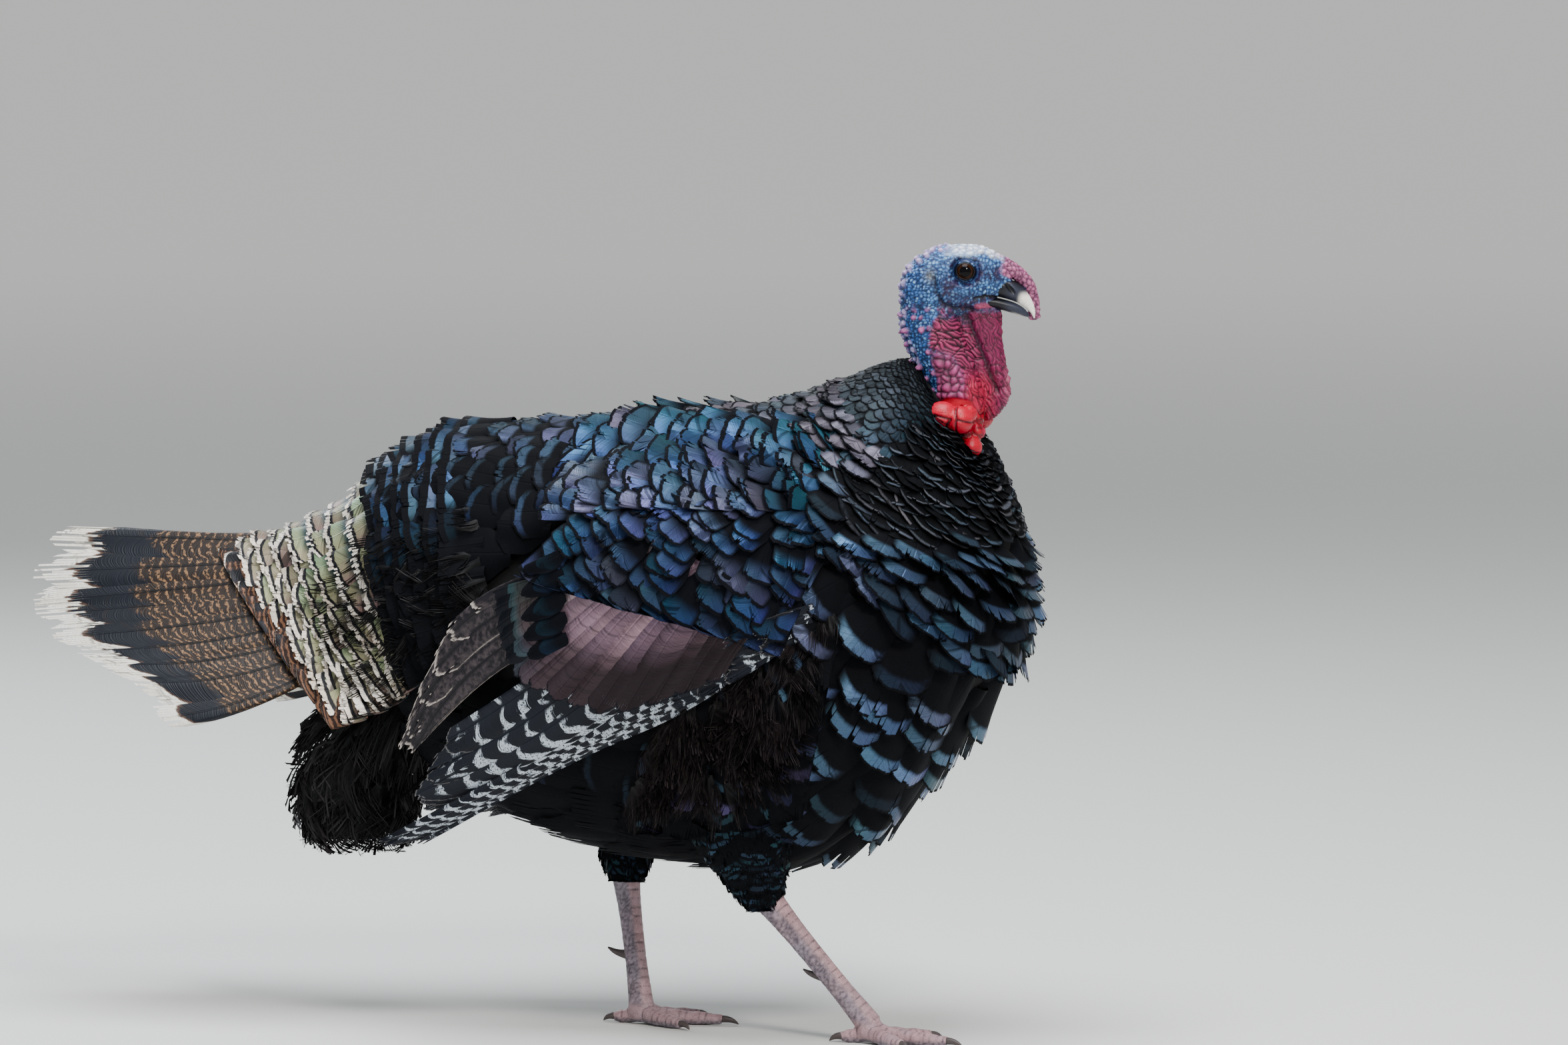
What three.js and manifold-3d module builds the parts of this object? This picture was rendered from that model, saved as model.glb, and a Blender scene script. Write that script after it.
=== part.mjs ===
// A standing wild turkey cock, life size, as a still museum model.
// Millimetres, +Z up. The bird faces +X and its left side is +Y; the origin is on the floor,
// under the middle of the whole bird. Every piece is one closed solid, and neighbours keep GAP.

import * as THREE from 'three';
import { mergeVertices } from 'three/addons/utils/BufferGeometryUtils.js';
import Module from 'manifold-3d';

const wasm = await Module();
wasm.setup();

// ---------------------------------------------------------------- driving dimensions
const GAP = 0.35; // clearance between two pieces that touch
const SHARP_GAP = 1.1; // the same round a piece with sharp rims, moved along its normals
const LEFT = 1;
const RIGHT = -1;
const SIDES = [['right', RIGHT], ['left', LEFT]];

const HEAD_AT = new THREE.Vector3(405.6, 4, 685.4); // midway between the eyes
const HEAD_YAW = 15; // degrees, the head looks a little to the bird's left
const EYE_RADIUS = 10;
const EYE_OUT = 11; // centre of the eyeball from the midline

const FOOT_LEFT = new THREE.Vector3(96, 20, 0); // where the toes meet, on the floor
const FOOT_RIGHT = new THREE.Vector3(333, -46, 0);
const HOCK_LEFT = new THREE.Vector3(71, 44, 148);
const HOCK_RIGHT = new THREE.Vector3(230, -60, 140);
const TOE_HUB = 13; // height of the joint above the floor where the toes spread

const TAIL_BLADES = 9; // main tail feathers on each side
const WING_BLADES = 14; // flight feathers on each side
const TAIL_THICKNESS = 3.2;
const WING_THICKNESS = 4.2;

// ---------------------------------------------------------------- colours
const finish = (color, roughness, metalness = 0) => (
  new THREE.MeshStandardMaterial({ color, roughness, metalness })
);
const LOOKS = {
  feather_dark: () => finish(0x1d2026, 0.55, 0.15),
  feather_steel: () => finish(0x36454f, 0.45, 0.3),
  feather_copper: () => finish(0x6b5a52, 0.45, 0.3),
  feather_barred: () => finish(0x6a6660, 0.6),
  feather_tail: () => finish(0x4a3524, 0.6),
  feather_white: () => finish(0xcfc6b4, 0.7),
  skin_blue: () => finish(0x6fa3c4, 0.5),
  skin_red: () => finish(0xb01f35, 0.4),
  skin_pink: () => finish(0xc26a80, 0.5),
  horn: () => finish(0x4a4a4c, 0.35),
  horn_pale: () => finish(0xcbbf9f, 0.35),
  eye: () => finish(0x17100c, 0.05),
  leg: () => finish(0x8a7a80, 0.5),
};

// ---------------------------------------------------------------- small maths
const radians = (degrees) => degrees * Math.PI / 180;
const lerp = (a, b, t) => a + (b - a) * t;
const vec = (x, y, z) => new THREE.Vector3(x, y, z);

// A smooth curve through the rows of a table: key in the first column, one value column.
function column(rows, index) {
  return (key) => {
    const last = rows.length - 1;
    let i = 0;
    while (i < last - 1 && rows[i + 1][0] < key) i += 1;
    const before = rows[Math.max(i - 1, 0)];
    const [a, b] = [rows[i], rows[i + 1]];
    const after = rows[Math.min(i + 2, last)];
    const span = b[0] - a[0];
    const t = Math.min(Math.max((key - a[0]) / span, 0), 1);
    const slope = (p, q) => (q[index] - p[index]) / Math.max(q[0] - p[0], 1e-9) * span;
    const [m0, m1] = [slope(before, b), slope(a, after)];
    const [t2, t3] = [t * t, t * t * t];
    return (2 * t3 - 3 * t2 + 1) * a[index] + (t3 - 2 * t2 + t) * m0
      + (3 * t2 - 2 * t3) * b[index] + (t3 - t2) * m1;
  };
}

// A point of the head: forward, left and up from the middle between the eyes.
function headPoint(forward, left, up) {
  const yaw = radians(HEAD_YAW);
  const x = forward * Math.cos(yaw) - left * Math.sin(yaw);
  const y = forward * Math.sin(yaw) + left * Math.cos(yaw);
  return vec(x, y, up).add(HEAD_AT);
}

// ---------------------------------------------------------------- closed surfaces
// Rings of equal count are joined side by side, and a fan closes each end.
function loft(rings) {
  const sides = rings[0].length;
  const points = rings.flat();
  const faces = [];
  for (let r = 0; r < rings.length - 1; r += 1) {
    for (let s = 0; s < sides; s += 1) {
      const next = (s + 1) % sides;
      const [a, b] = [r * sides + s, r * sides + next];
      const [c, d] = [a + sides, b + sides];
      faces.push([a, b, d], [a, d, c]);
    }
  }
  const middle = (ring) => ring.reduce((sum, p) => sum.add(p), vec(0, 0, 0)).divideScalar(sides);
  const first = points.push(middle(rings[0])) - 1;
  const last = points.push(middle(rings[rings.length - 1])) - 1;
  const base = (rings.length - 1) * sides;
  for (let s = 0; s < sides; s += 1) {
    const next = (s + 1) % sides;
    faces.push([first, next, s], [last, base + s, base + next]);
  }
  return surface(points, faces);
}

// Points and faces become a welded geometry whose faces look outward.
function surface(points, faces) {
  const volume = faces.reduce((sum, [a, b, c]) => (
    sum + points[a].dot(vec(0, 0, 0).crossVectors(points[b], points[c]))
  ), 0);
  const ordered = volume < 0 ? faces.map(([a, b, c]) => [a, c, b]) : faces;
  const places = new THREE.Float32BufferAttribute(points.flatMap((p) => p.toArray()), 3);
  const geometry = new THREE.BufferGeometry();
  geometry.setAttribute('position', places);
  geometry.setIndex(ordered.flat());
  return mergeVertices(geometry, 1e-4);
}

// Rings round a path: each station has a centre, two half axes and a squareness exponent.
function ring(centre, along, across, sides, power = 1) {
  const bend = (value) => Math.sign(value) * Math.abs(value) ** power;
  return Array.from({ length: sides }, (_, i) => {
    const angle = 2 * Math.PI * (i + 0.5) / sides;
    return centre.clone()
      .addScaledVector(along, bend(Math.cos(angle)))
      .addScaledVector(across, bend(Math.sin(angle)));
  });
}

// A limb: stations [centre, half width in x, half width in y], with level rings.
const limb = (stations, sides) => loft(stations.map(([centre, rx, ry]) => (
  ring(centre, vec(rx, 0, 0), vec(0, ry, 0), sides)
)));

// A tube round a polyline: stations [centre, half height, half width], rings square to the path.
function tube(stations, sides, side = vec(0, 1, 0)) {
  const rings = stations.map(([centre, tall, wide], i) => {
    const ahead = stations[Math.min(i + 1, stations.length - 1)][0];
    const behind = stations[Math.max(i - 1, 0)][0];
    const forward = ahead.clone().sub(behind).normalize();
    const up = vec(0, 0, 0).crossVectors(forward, side).normalize();
    const across = vec(0, 0, 0).crossVectors(up, forward).normalize();
    return ring(centre, up.multiplyScalar(tall), across.multiplyScalar(wide), sides);
  });
  return loft(rings);
}

// A ball with its own half axes, made from a three.js sphere.
function ball(centre, rx, ry, rz, sides = 16) {
  const geometry = new THREE.SphereGeometry(1, sides, Math.round(sides * 0.7));
  geometry.deleteAttribute('normal');
  geometry.deleteAttribute('uv');
  geometry.scale(rx, ry, rz);
  geometry.translate(centre.x, centre.y, centre.z);
  return mergeVertices(geometry, 1e-4);
}

// A sheet of overlapping blades: place(u, v) is its outer face, u along a feather from root to
// tip, v across the fan. Each blade steps out from the next like a louvre and has a round tip.
function blades(place, inward, count, thickness, roundness) {
  const along = 4;
  const perBlade = 2;
  const across = count * perBlade;
  const step = thickness * 0.45;
  const outer = [];
  const inner = [];
  for (let j = 0; j <= across; j += 1) {
    const v = j / across;
    const inBlade = (j % perBlade) / perBlade;
    const tip = 1 - roundness * (1 - 2 * inBlade) ** 2;
    for (let i = 0; i <= along; i += 1) {
      const point = place(i / along * tip, v);
      outer.push(point.clone().addScaledVector(inward, step * inBlade));
      inner.push(point.clone().addScaledVector(inward, step * inBlade + thickness));
    }
  }
  return slab(outer, inner, across + 1, along + 1);
}

// Two facing grids of points, rows by columns, closed all round their rim.
function slab(outer, inner, rows, columns) {
  const points = [...outer, ...inner];
  const lift = outer.length;
  const faces = [];
  for (let j = 0; j < rows - 1; j += 1) {
    for (let i = 0; i < columns - 1; i += 1) {
      const [a, b] = [j * columns + i, j * columns + i + 1];
      const [c, d] = [a + columns, b + columns];
      faces.push([a, c, d], [a, d, b]);
      faces.push([a + lift, d + lift, c + lift], [a + lift, b + lift, d + lift]);
    }
  }
  const rim = [];
  for (let i = 0; i < columns - 1; i += 1) rim.push(i);
  for (let j = 0; j < rows - 1; j += 1) rim.push(j * columns + columns - 1);
  for (let i = columns - 1; i > 0; i -= 1) rim.push((rows - 1) * columns + i);
  for (let j = rows - 1; j > 0; j -= 1) rim.push(j * columns);
  rim.forEach((a, k) => {
    const b = rim[(k + 1) % rim.length];
    faces.push([a, b, b + lift], [a, b + lift, a + lift]);
  });
  return surface(points, faces);
}

// ---------------------------------------------------------------- solids
function solid(geometry) {
  const vertProperties = Float32Array.from(geometry.getAttribute('position').array);
  const triVerts = Uint32Array.from(geometry.getIndex().array);
  return new wasm.Manifold(new wasm.Mesh({ numProp: 3, vertProperties, triVerts }));
}

// The same shape moved out by the gap along its normals: what a neighbour is cut with.
function grown(geometry, gap = GAP) {
  const copy = geometry.clone();
  copy.computeVertexNormals();
  const position = copy.getAttribute('position');
  const normal = copy.getAttribute('normal');
  for (let i = 0; i < position.count; i += 1) {
    const point = vec(0, 0, 0).fromBufferAttribute(position, i);
    point.addScaledVector(vec(0, 0, 0).fromBufferAttribute(normal, i), gap);
    position.setXYZ(i, point.x, point.y, point.z);
  }
  copy.deleteAttribute('normal');
  return solid(copy);
}

// The largest connected part of a solid, so that no crumb of a cut is left.
function main(shape) {
  const pieces = shape.decompose();
  return pieces.reduce((best, piece) => (piece.volume() > best.volume() ? piece : best));
}

const cut = (geometry, ...neighbours) => main(
  neighbours.reduce((shape, neighbour) => shape.subtract(neighbour), solid(geometry)),
);

function geometryOf(shape) {
  const mesh = shape.getMesh();
  const places = new THREE.BufferAttribute(Float32Array.from(mesh.vertProperties), 3);
  const geometry = new THREE.BufferGeometry();
  geometry.setAttribute('position', places);
  geometry.setIndex(Array.from(mesh.triVerts));
  return geometry;
}

const group = new THREE.Group();
function add(name, shape, look) {
  const mesh = new THREE.Mesh(geometryOf(shape), LOOKS[look]());
  mesh.name = name;
  group.add(mesh);
}

// ---------------------------------------------------------------- trunk
// x, top, bottom, half width, height of the widest part as a share of the section.
const TRUNK = [
  [-205, 446, 352, 46, 0.45],
  [-170, 472, 308, 74, 0.45],
  [-110, 522, 244, 108, 0.46],
  [-40, 548, 196, 136, 0.47],
  [40, 554, 166, 152, 0.48],
  [120, 559, 148, 160, 0.48],
  [200, 568, 142, 163, 0.48],
  [270, 574, 144, 164, 0.48],
  [315, 562, 170, 160, 0.48],
  [360, 528, 226, 148, 0.48],
  [402, 490, 292, 124, 0.5],
  [434, 456, 346, 92, 0.5],
  [454, 424, 384, 46, 0.5],
];
const trunkTop = column(TRUNK, 1);
const trunkBottom = column(TRUNK, 2);
const trunkWide = column(TRUNK, 3);
const trunkWaist = column(TRUNK, 4);

function trunkShape() {
  const sides = 20;
  const rings = 17;
  const [from, to] = [TRUNK[0][0], TRUNK[TRUNK.length - 1][0]];
  return loft(Array.from({ length: rings }, (_, r) => {
    const x = lerp(from, to, 0.5 - 0.5 * Math.cos(Math.PI * (0.04 + 0.96 * r / (rings - 1))));
    const [top, bottom] = [trunkTop(x), trunkBottom(x)];
    const waist = lerp(bottom, top, trunkWaist(x));
    return Array.from({ length: sides }, (_, s) => {
      const angle = 2 * Math.PI * (s + 0.5) / sides;
      const rise = Math.sin(angle);
      const side = Math.sign(Math.cos(angle)) * Math.abs(Math.cos(angle)) ** 0.9;
      const reach = rise > 0 ? top - waist : waist - bottom;
      return vec(x, trunkWide(x) * side, waist + reach * rise);
    });
  }));
}
const trunk = trunkShape();
const trunkCut = grown(trunk);

// ---------------------------------------------------------------- head, bill and eyes
// forward, top, bottom, half width; all from the middle between the eyes.
const HEAD = [
  [-57, -14, -36, 6],
  [-53, -1, -44, 14],
  [-43, 10.5, -47, 19],
  [-26, 19, -45, 21.5],
  [-6, 23.5, -39, 21],
  [12, 21.5, -35, 19.2],
  [26, 15.5, -33, 15.5],
  [36, 7, -29, 11.5],
  [42, -1, -22, 6],
];
function headShape() {
  const top = column(HEAD, 1);
  const bottom = column(HEAD, 2);
  const wide = column(HEAD, 3);
  return loft([-57, -53, -46, -36, -22, -6, 9, 20, 30, 37, 42].map((forward) => {
    const centre = headPoint(forward, 0, (top(forward) + bottom(forward)) / 2);
    const left = headPoint(0, wide(forward), 0).sub(HEAD_AT);
    return ring(centre, left, vec(0, 0, (top(forward) - bottom(forward)) / 2), 14, 0.9);
  }));
}
const eyeShape = (side) => (
  ball(headPoint(0, side * EYE_OUT, 0), EYE_RADIUS, EYE_RADIUS, EYE_RADIUS, 12)
);

// Each row: ridge forward and up, edge forward and up, half width.
const BILL_UPPER = [
  [24, -8, 17, -21.5, 10.5],
  [34, -8, 29, -23.5, 9.8],
  [41, -8.6, 37, -25.5, 8.8],
  [48, -12, 44.5, -28, 7.4],
  [54.5, -19.5, 50, -31, 5.8],
  [59.3, -28.5, 54.5, -34.5, 4],
  [61.3, -36, 58, -38.6, 2.2],
  [60.6, -42.4, 60, -42.8, 0.8],
];
const BILL_LOWER = [
  [14, -23.6, 14, -31, 9.5],
  [26, -25.2, 25, -33.2, 8.8],
  [36, -27.3, 34.5, -35.2, 7.8],
  [44, -30, 42.5, -37.4, 6.2],
  [51, -34.6, 49.5, -39.8, 4],
  [55.5, -39.2, 55, -41, 1.5],
];
const billShape = (rows) => loft(rows.map(([x1, z1, x2, z2, wide]) => {
  const [high, low] = [headPoint(x1, 0, z1), headPoint(x2, 0, z2)];
  const centre = high.clone().add(low).multiplyScalar(0.5);
  const left = headPoint(0, wide, 0).sub(HEAD_AT);
  return ring(centre, left, high.sub(centre), 12, 0.85);
}));

// The snood rises on the forehead, lies over the bill and hangs down its left side.
const SNOOD = [
  [30, 0, 5, 4.5],
  [37, 0.5, 2.5, 6],
  [44, 1.5, -2, 6],
  [51, 4, -8.5, 6],
  [56, 6.5, -17, 5.6],
  [59, 7.5, -27, 5],
  [59.8, 7, -37, 4.2],
  [59.8, 6.5, -43.5, 2.6],
];
const snoodShape = () => tube(
  SNOOD.map(([forward, left, up, radius]) => [headPoint(forward, left, up), radius, radius]),
  8,
  headPoint(0, 1, 0).sub(HEAD_AT),
);

// ---------------------------------------------------------------- neck and wattles
// Bare neck, from inside the head to inside the collar: forward, up, half depth, half width.
const NECK = [
  [-30, -20, 24, 15],
  [-33, -42, 25.5, 20],
  [-26, -65, 25, 22],
  [-15, -88, 24.5, 23.5],
  [-6, -112, 24, 25],
  [-5, -134, 22, 25],
  [-8, -160, 20, 21],
];
const neckShape = () => tube(
  NECK.map(([forward, up, deep, wide]) => [headPoint(forward, 0, up), deep, wide]),
  14,
);

// Flap of loose skin under the throat: up, front edge, back edge, half thickness.
const DEWLAP = [
  [-27, 24, -10, 5],
  [-36, 31, -14, 7.5],
  [-54, 32, -14, 7.5],
  [-74, 34.5, -6, 7],
  [-94, 37.5, 2, 7],
  [-112, 38.5, 12, 7],
  [-124, 32, 14, 6],
  [-132, 22, 14, 3],
];
const dewlapShape = () => loft(DEWLAP.map(([up, front, back, thick]) => {
  const centre = headPoint((front + back) / 2, 0, up);
  const along = headPoint((front - back) / 2, 0, 0).sub(HEAD_AT);
  const across = headPoint(0, thick, 0).sub(HEAD_AT);
  return ring(centre, along, across, 10);
}));

// Feathered collar: back x and z, front x and z, half width.
const COLLAR = [
  [363, 607, 424, 524, 36],
  [350, 612, 436, 500, 52],
  [322, 606, 449, 470, 80],
  [276, 588, 456, 430, 112],
  [235, 560, 440, 380, 130],
];
const collarShape = () => loft(COLLAR.map(([backX, backZ, frontX, frontZ, wide]) => {
  const centre = vec((backX + frontX) / 2, 0, (backZ + frontZ) / 2);
  const along = vec((frontX - backX) / 2, 0, (frontZ - backZ) / 2);
  return ring(centre, along, vec(0, wide, 0), 16, 0.95);
}));

function headAndNeck() {
  const head = headShape();
  const eyes = [RIGHT, LEFT].map(eyeShape);
  const upper = billShape(BILL_UPPER);
  const lower = billShape(BILL_LOWER);
  const neck = neckShape();
  const collar = collarShape();
  const dewlap = dewlapShape();
  const headCut = grown(head);
  const neckCut = grown(neck);
  const collarCut = grown(collar);
  const upperCut = grown(upper);
  add('head', cut(head, ...eyes.map(grown)), 'skin_blue');
  add('eye_right', solid(eyes[0]), 'eye');
  add('eye_left', solid(eyes[1]), 'eye');
  add('bill_upper', cut(upper, headCut), 'horn');
  add('bill_lower', cut(lower, headCut, upperCut), 'horn_pale');
  add('snood', cut(snoodShape(), headCut, upperCut, grown(lower)), 'skin_pink');
  add('neck_upper', cut(neck, headCut), 'skin_blue');
  add('neck_lower', cut(collar, neckCut, trunkCut), 'feather_steel');
  add('dewlap', cut(dewlap, headCut, neckCut, collarCut, grown(lower)), 'skin_red');
  const taken = [neckCut, collarCut, headCut, grown(dewlap)];
  const front = ball(vec(417, 3, 535), 12.5, 14, 18.5, 10);
  add('caruncle_front', cut(front, ...taken), 'skin_red');
  SIDES.forEach(([name, side]) => {
    const bulb = ball(vec(402, 1 + side * 30, 557), 21, 15, 14.5, 12);
    add(`caruncle_side_${name}`, cut(bulb, ...taken, grown(front)), 'skin_red');
  });
}
headAndNeck();
add('trunk', solid(trunk), 'feather_dark');

// ---------------------------------------------------------------- wings
// x, middle height, half height, outer face from the midline.
const WING = [
  [326, 436, 16, 140],
  [305, 434, 46, 160],
  [262, 438, 72, 178],
  [200, 436, 87, 188],
  [130, 421, 92, 191],
  [64, 394, 84, 187],
  [8, 364, 66, 176],
  [-34, 343, 42, 160],
  [-56, 332, 16, 146],
];
const WING_INNER = 84; // the hidden face of the wing, inside the trunk
const wingShape = (side) => loft(WING.map(([x, middle, tall, out]) => {
  const centre = vec(x, side * (out + WING_INNER) / 2, middle);
  return ring(centre, vec(0, side * (out - WING_INNER) / 2, 0), vec(0, 0, tall), 16, 0.85);
}));

// Flight feathers lie in a fan from the wrist: share of the fan, then root and tip x, y, z.
const FAN = [
  [0, 296, 158, 372, -66, 150, 172],
  [0.3, 250, 170, 376, -56, 158, 190],
  [0.5, 190, 176, 384, -30, 164, 214],
  [0.66, 140, 178, 396, -34, 166, 232],
  [0.8, 100, 176, 410, -78, 160, 250],
  [1, 62, 168, 432, -92, 150, 286],
];
const FAN_BULGE = 12; // how far the feathers bow outward between root and tip
function flightPlace(side) {
  const [rootX, rootY, rootZ, tipX, tipY, tipZ] = [1, 2, 3, 4, 5, 6].map((i) => column(FAN, i));
  return (u, v) => {
    const bow = 4 * u * (1 - u);
    const x = lerp(rootX(v), tipX(v), u);
    const y = lerp(rootY(v), tipY(v), u) + FAN_BULGE * bow;
    const z = lerp(rootZ(v), tipZ(v), u) - 6 * bow;
    return vec(x, side * y, z);
  };
}

const TIP_ROUND = 0.06; // share of a flight feather's length lost at the sides of its tip

// Both pieces of one wing. What comes back is what its neighbours are cut with.
function wingPieces(name, side) {
  const wing = wingShape(side);
  const fan = blades(flightPlace(side), vec(0, -side, 0), WING_BLADES, WING_THICKNESS, TIP_ROUND);
  const wingCut = grown(wing);
  add(`wing_${name}`, cut(wing, trunkCut), 'feather_copper');
  add(`flight_${name}`, cut(fan, trunkCut, wingCut), 'feather_barred');
  return [wingCut, grown(fan)];
}
const wingCuts = Object.fromEntries(SIDES.map(([name, side]) => [name, wingPieces(name, side)]));

// ---------------------------------------------------------------- tail
// Share of the fan from the middle feather outward, then x, y, z at the root, bend and tip.
const TAIL = [
  [0, -130, 3, 428, -250, 4, 431, -452, 5, 436],
  [0.12, -130, 6, 420, -250, 16, 416, -470, 20, 410],
  [0.3, -130, 10, 410, -250, 34, 394, -466, 44, 372],
  [0.5, -130, 14, 398, -250, 56, 366, -438, 74, 344],
  [0.7, -130, 20, 384, -240, 78, 338, -386, 98, 326],
  [0.86, -130, 24, 370, -225, 92, 318, -336, 116, 304],
  [1, -130, 30, 352, -210, 106, 296, -300, 134, 264],
];
const TENT = radians(50); // slope of each half of the tail, seen from behind
function tailPlace(side) {
  const values = [1, 2, 3, 4, 5, 6, 7, 8, 9].map((i) => column(TAIL, i));
  return (u, v) => {
    const [root, bend, tip] = [0, 3, 6].map((k) => (
      vec(values[k](v), side * values[k + 1](v), values[k + 2](v))
    ));
    const weights = [(1 - u) ** 2, 2 * u * (1 - u), u * u];
    const control = bend.multiplyScalar(2).addScaledVector(root, -0.5).addScaledVector(tip, -0.5);
    return root.multiplyScalar(weights[0])
      .addScaledVector(control, weights[1])
      .addScaledVector(tip, weights[2]);
  };
}

// Upper tail coverts: a roof over the tail's root. x at the ridge, lean of the eaves, top,
// bottom, half width.
const COVERTS = [
  [-140, 76, 505, 300, 88],
  [-178, 98, 468, 288, 98],
  [-214, 120, 448, 280, 105],
  [-246, 138, 438, 274, 108],
  [-268, 150, 431, 270, 106],
  [-275, 146, 421, 282, 92],
];
function covertsShape() {
  const sides = 18;
  return loft(COVERTS.map(([x, lean, top, bottom, wide]) => (
    Array.from({ length: sides }, (_, s) => {
      const share = s / (sides - 1) * 2 - 1;
      const drop = Math.abs(share) ** 1.15;
      const y = wide * Math.sign(share) * Math.abs(share) ** 0.8;
      return vec(x + lean * drop, y, lerp(top, bottom, drop));
    })
  )));
}

// Loose feathers that hang under the vent: middle x and z, half length, half width.
const VENT = [
  [-110, 300, 50, 66],
  [-143, 262, 62, 74],
  [-163, 222, 60, 68],
  [-170, 188, 50, 52],
  [-166, 160, 34, 30],
];

function tailPieces() {
  const coverts = covertsShape();
  const vent = limb(VENT.map(([x, z, long, wide]) => [vec(x, 0, z), long, wide]), 14);
  const covertsCut = grown(coverts, SHARP_GAP);
  SIDES.forEach(([name, side]) => {
    const inward = vec(0, -side * Math.sin(TENT), -Math.cos(TENT));
    const fan = blades(tailPlace(side), inward, TAIL_BLADES, TAIL_THICKNESS, TIP_ROUND);
    add(`tail_${name}`, cut(fan, trunkCut, covertsCut), 'feather_tail');
  });
  add('tail_coverts', cut(coverts, trunkCut), 'feather_white');
  add('undertail_coverts', cut(vent, trunkCut, covertsCut), 'feather_dark');
}
tailPieces();

// ---------------------------------------------------------------- legs
const TOES = [
  // name, direction in degrees from forward (outward positive), length, half width
  ['middle', 4, 74, 7.2],
  ['outer', 42, 58, 6.4],
  ['inner', -36, 56, 6.4],
  ['hind', 172, 27, 5],
];
const CLAW_LENGTH = { middle: 15, outer: 12, inner: 12, hind: 10 };
const FOOT_YAW = { right: -2, left: 4 }; // degrees, the way each middle toe points

const toeWay = (angle) => vec(Math.cos(angle), Math.sin(angle), 0);

function toeShape(foot, angle, length, wide) {
  const way = toeWay(angle);
  const at = (share, height) => foot.clone().addScaledVector(way, share * length).setZ(height);
  return tube([
    [at(-0.08, TOE_HUB - 1), 8, wide],
    [at(0.14, TOE_HUB - 4), 8.6, wide + 1],
    [at(0.42, 6.2), 6.8, wide + 0.2],
    [at(0.74, 5.2), 6, wide - 0.6],
    [at(1, 4), 4.4, wide - 2.6],
  ], 7, vec(-way.y, way.x, 0));
}

function clawShape(foot, angle, length, size) {
  const way = toeWay(angle);
  const at = (reach, height) => foot.clone().addScaledVector(way, length + reach).setZ(height);
  return tube([
    [at(-3, 5), 2.6, 2.6],
    [at(size * 0.25, 5.4), 2.9, 3],
    [at(size * 0.6, 4.2), 2.2, 2.4],
    [at(size, 1.6), 0.8, 1],
  ], 5, vec(-way.y, way.x, 0));
}

function footShape(foot, tarsus, side, name) {
  const toes = TOES.map(([, degrees, length, wide]) => {
    const angle = radians(FOOT_YAW[name] + side * degrees);
    return solid(toeShape(foot, angle, length, wide));
  });
  const hub = solid(ball(foot.clone().setZ(TOE_HUB - 1), 12, 11, 11.5, 10));
  const below = new THREE.BoxGeometry(400, 400, 60);
  below.deleteAttribute('normal');
  below.deleteAttribute('uv');
  below.translate(foot.x, foot.y, -30);
  const whole = toes.reduce((shape, toe) => shape.add(toe), hub);
  return main(whole.subtract(solid(mergeVertices(below))).subtract(grown(tarsus)));
}

// Feathered thigh: height, centre x and y, half depth, half width, from the body to the hock.
const THIGH = {
  right: [
    [262, 212, -78, 66, 44],
    [222, 216, -78, 62, 44],
    [186, 222, -74, 50, 38],
    [160, 227, -68, 36, 29],
    [140, 231, -62, 26, 22],
    [124, 236, -59, 15, 13],
  ],
  left: [
    [262, 92, 76, 64, 44],
    [226, 88, 72, 58, 42],
    [194, 82, 62, 46, 36],
    [168, 77, 53, 33, 29],
    [150, 74, 45, 25, 22],
    [134, 75, 41, 15, 13],
  ],
};
const TARSUS = [
  // share of the way from hock to foot, half depth, half width
  [0, 15, 13.5],
  [0.14, 13, 11],
  [0.35, 10.5, 9],
  [0.7, 9.6, 8.4],
  [0.9, 10.6, 10],
  [1, 11, 11],
];
const SPUR_SHARE = 0.66; // how far down the shank the spur stands
const SPUR_LENGTH = 20;

function tarsusShape(hock, ankle) {
  return tube(TARSUS.map(([share, deep, wide]) => (
    [hock.clone().lerp(ankle, share), deep, wide]
  )), 10);
}

function spurShape(hock, ankle) {
  const root = hock.clone().lerp(ankle, SPUR_SHARE);
  const at = (back, up) => root.clone().add(vec(-back, 0, up));
  return tube([
    [at(5, 0), 5, 4.5],
    [at(10, 0.5), 4, 3.6],
    [at(10 + SPUR_LENGTH * 0.5, 2.5), 2.4, 2.2],
    [at(10 + SPUR_LENGTH * 0.8, 6), 0.9, 0.9],
  ], 6);
}

function legPieces(name, side, foot, hock, bodyCuts) {
  const ankle = foot.clone().setZ(TOE_HUB + 3);
  const tarsus = tarsusShape(hock, ankle);
  const thigh = limb(THIGH[name].map(([z, x, y, rx, ry]) => [vec(x, y, z), rx, ry]), 14);
  const footPiece = footShape(foot, tarsus, side, name);
  add(`thigh_${name}`, cut(thigh, ...bodyCuts), 'feather_dark');
  add(`tarsus_${name}`, cut(tarsus, grown(thigh)), 'leg');
  add(`foot_${name}`, footPiece, 'leg');
  add(`spur_${name}`, cut(spurShape(hock, ankle), grown(tarsus)), 'horn');
  TOES.forEach(([toe, degrees, length, wide]) => {
    const angle = radians(FOOT_YAW[name] + side * degrees);
    const claw = clawShape(foot, angle, length, CLAW_LENGTH[toe]);
    add(`claw_${name}_${toe}`, cut(claw, grown(toeShape(foot, angle, length, wide))), 'horn');
  });
}

legPieces('right', RIGHT, FOOT_RIGHT, HOCK_RIGHT, [trunkCut, ...wingCuts.right]);
legPieces('left', LEFT, FOOT_LEFT, HOCK_LEFT, [trunkCut, ...wingCuts.left]);

export default group;
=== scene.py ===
# %% [markdown]
# # A wild turkey cock, life size
#
# The bird is built the way a taxidermist would: one skin over the whole body, eyes, bill and
# claws set into it, and then the plumage laid on from the tail forward, feather by feather.
# Everything is in metres. The bird faces +X, its left side is +Y, and the floor is z = 0.

from types import SimpleNamespace

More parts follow.
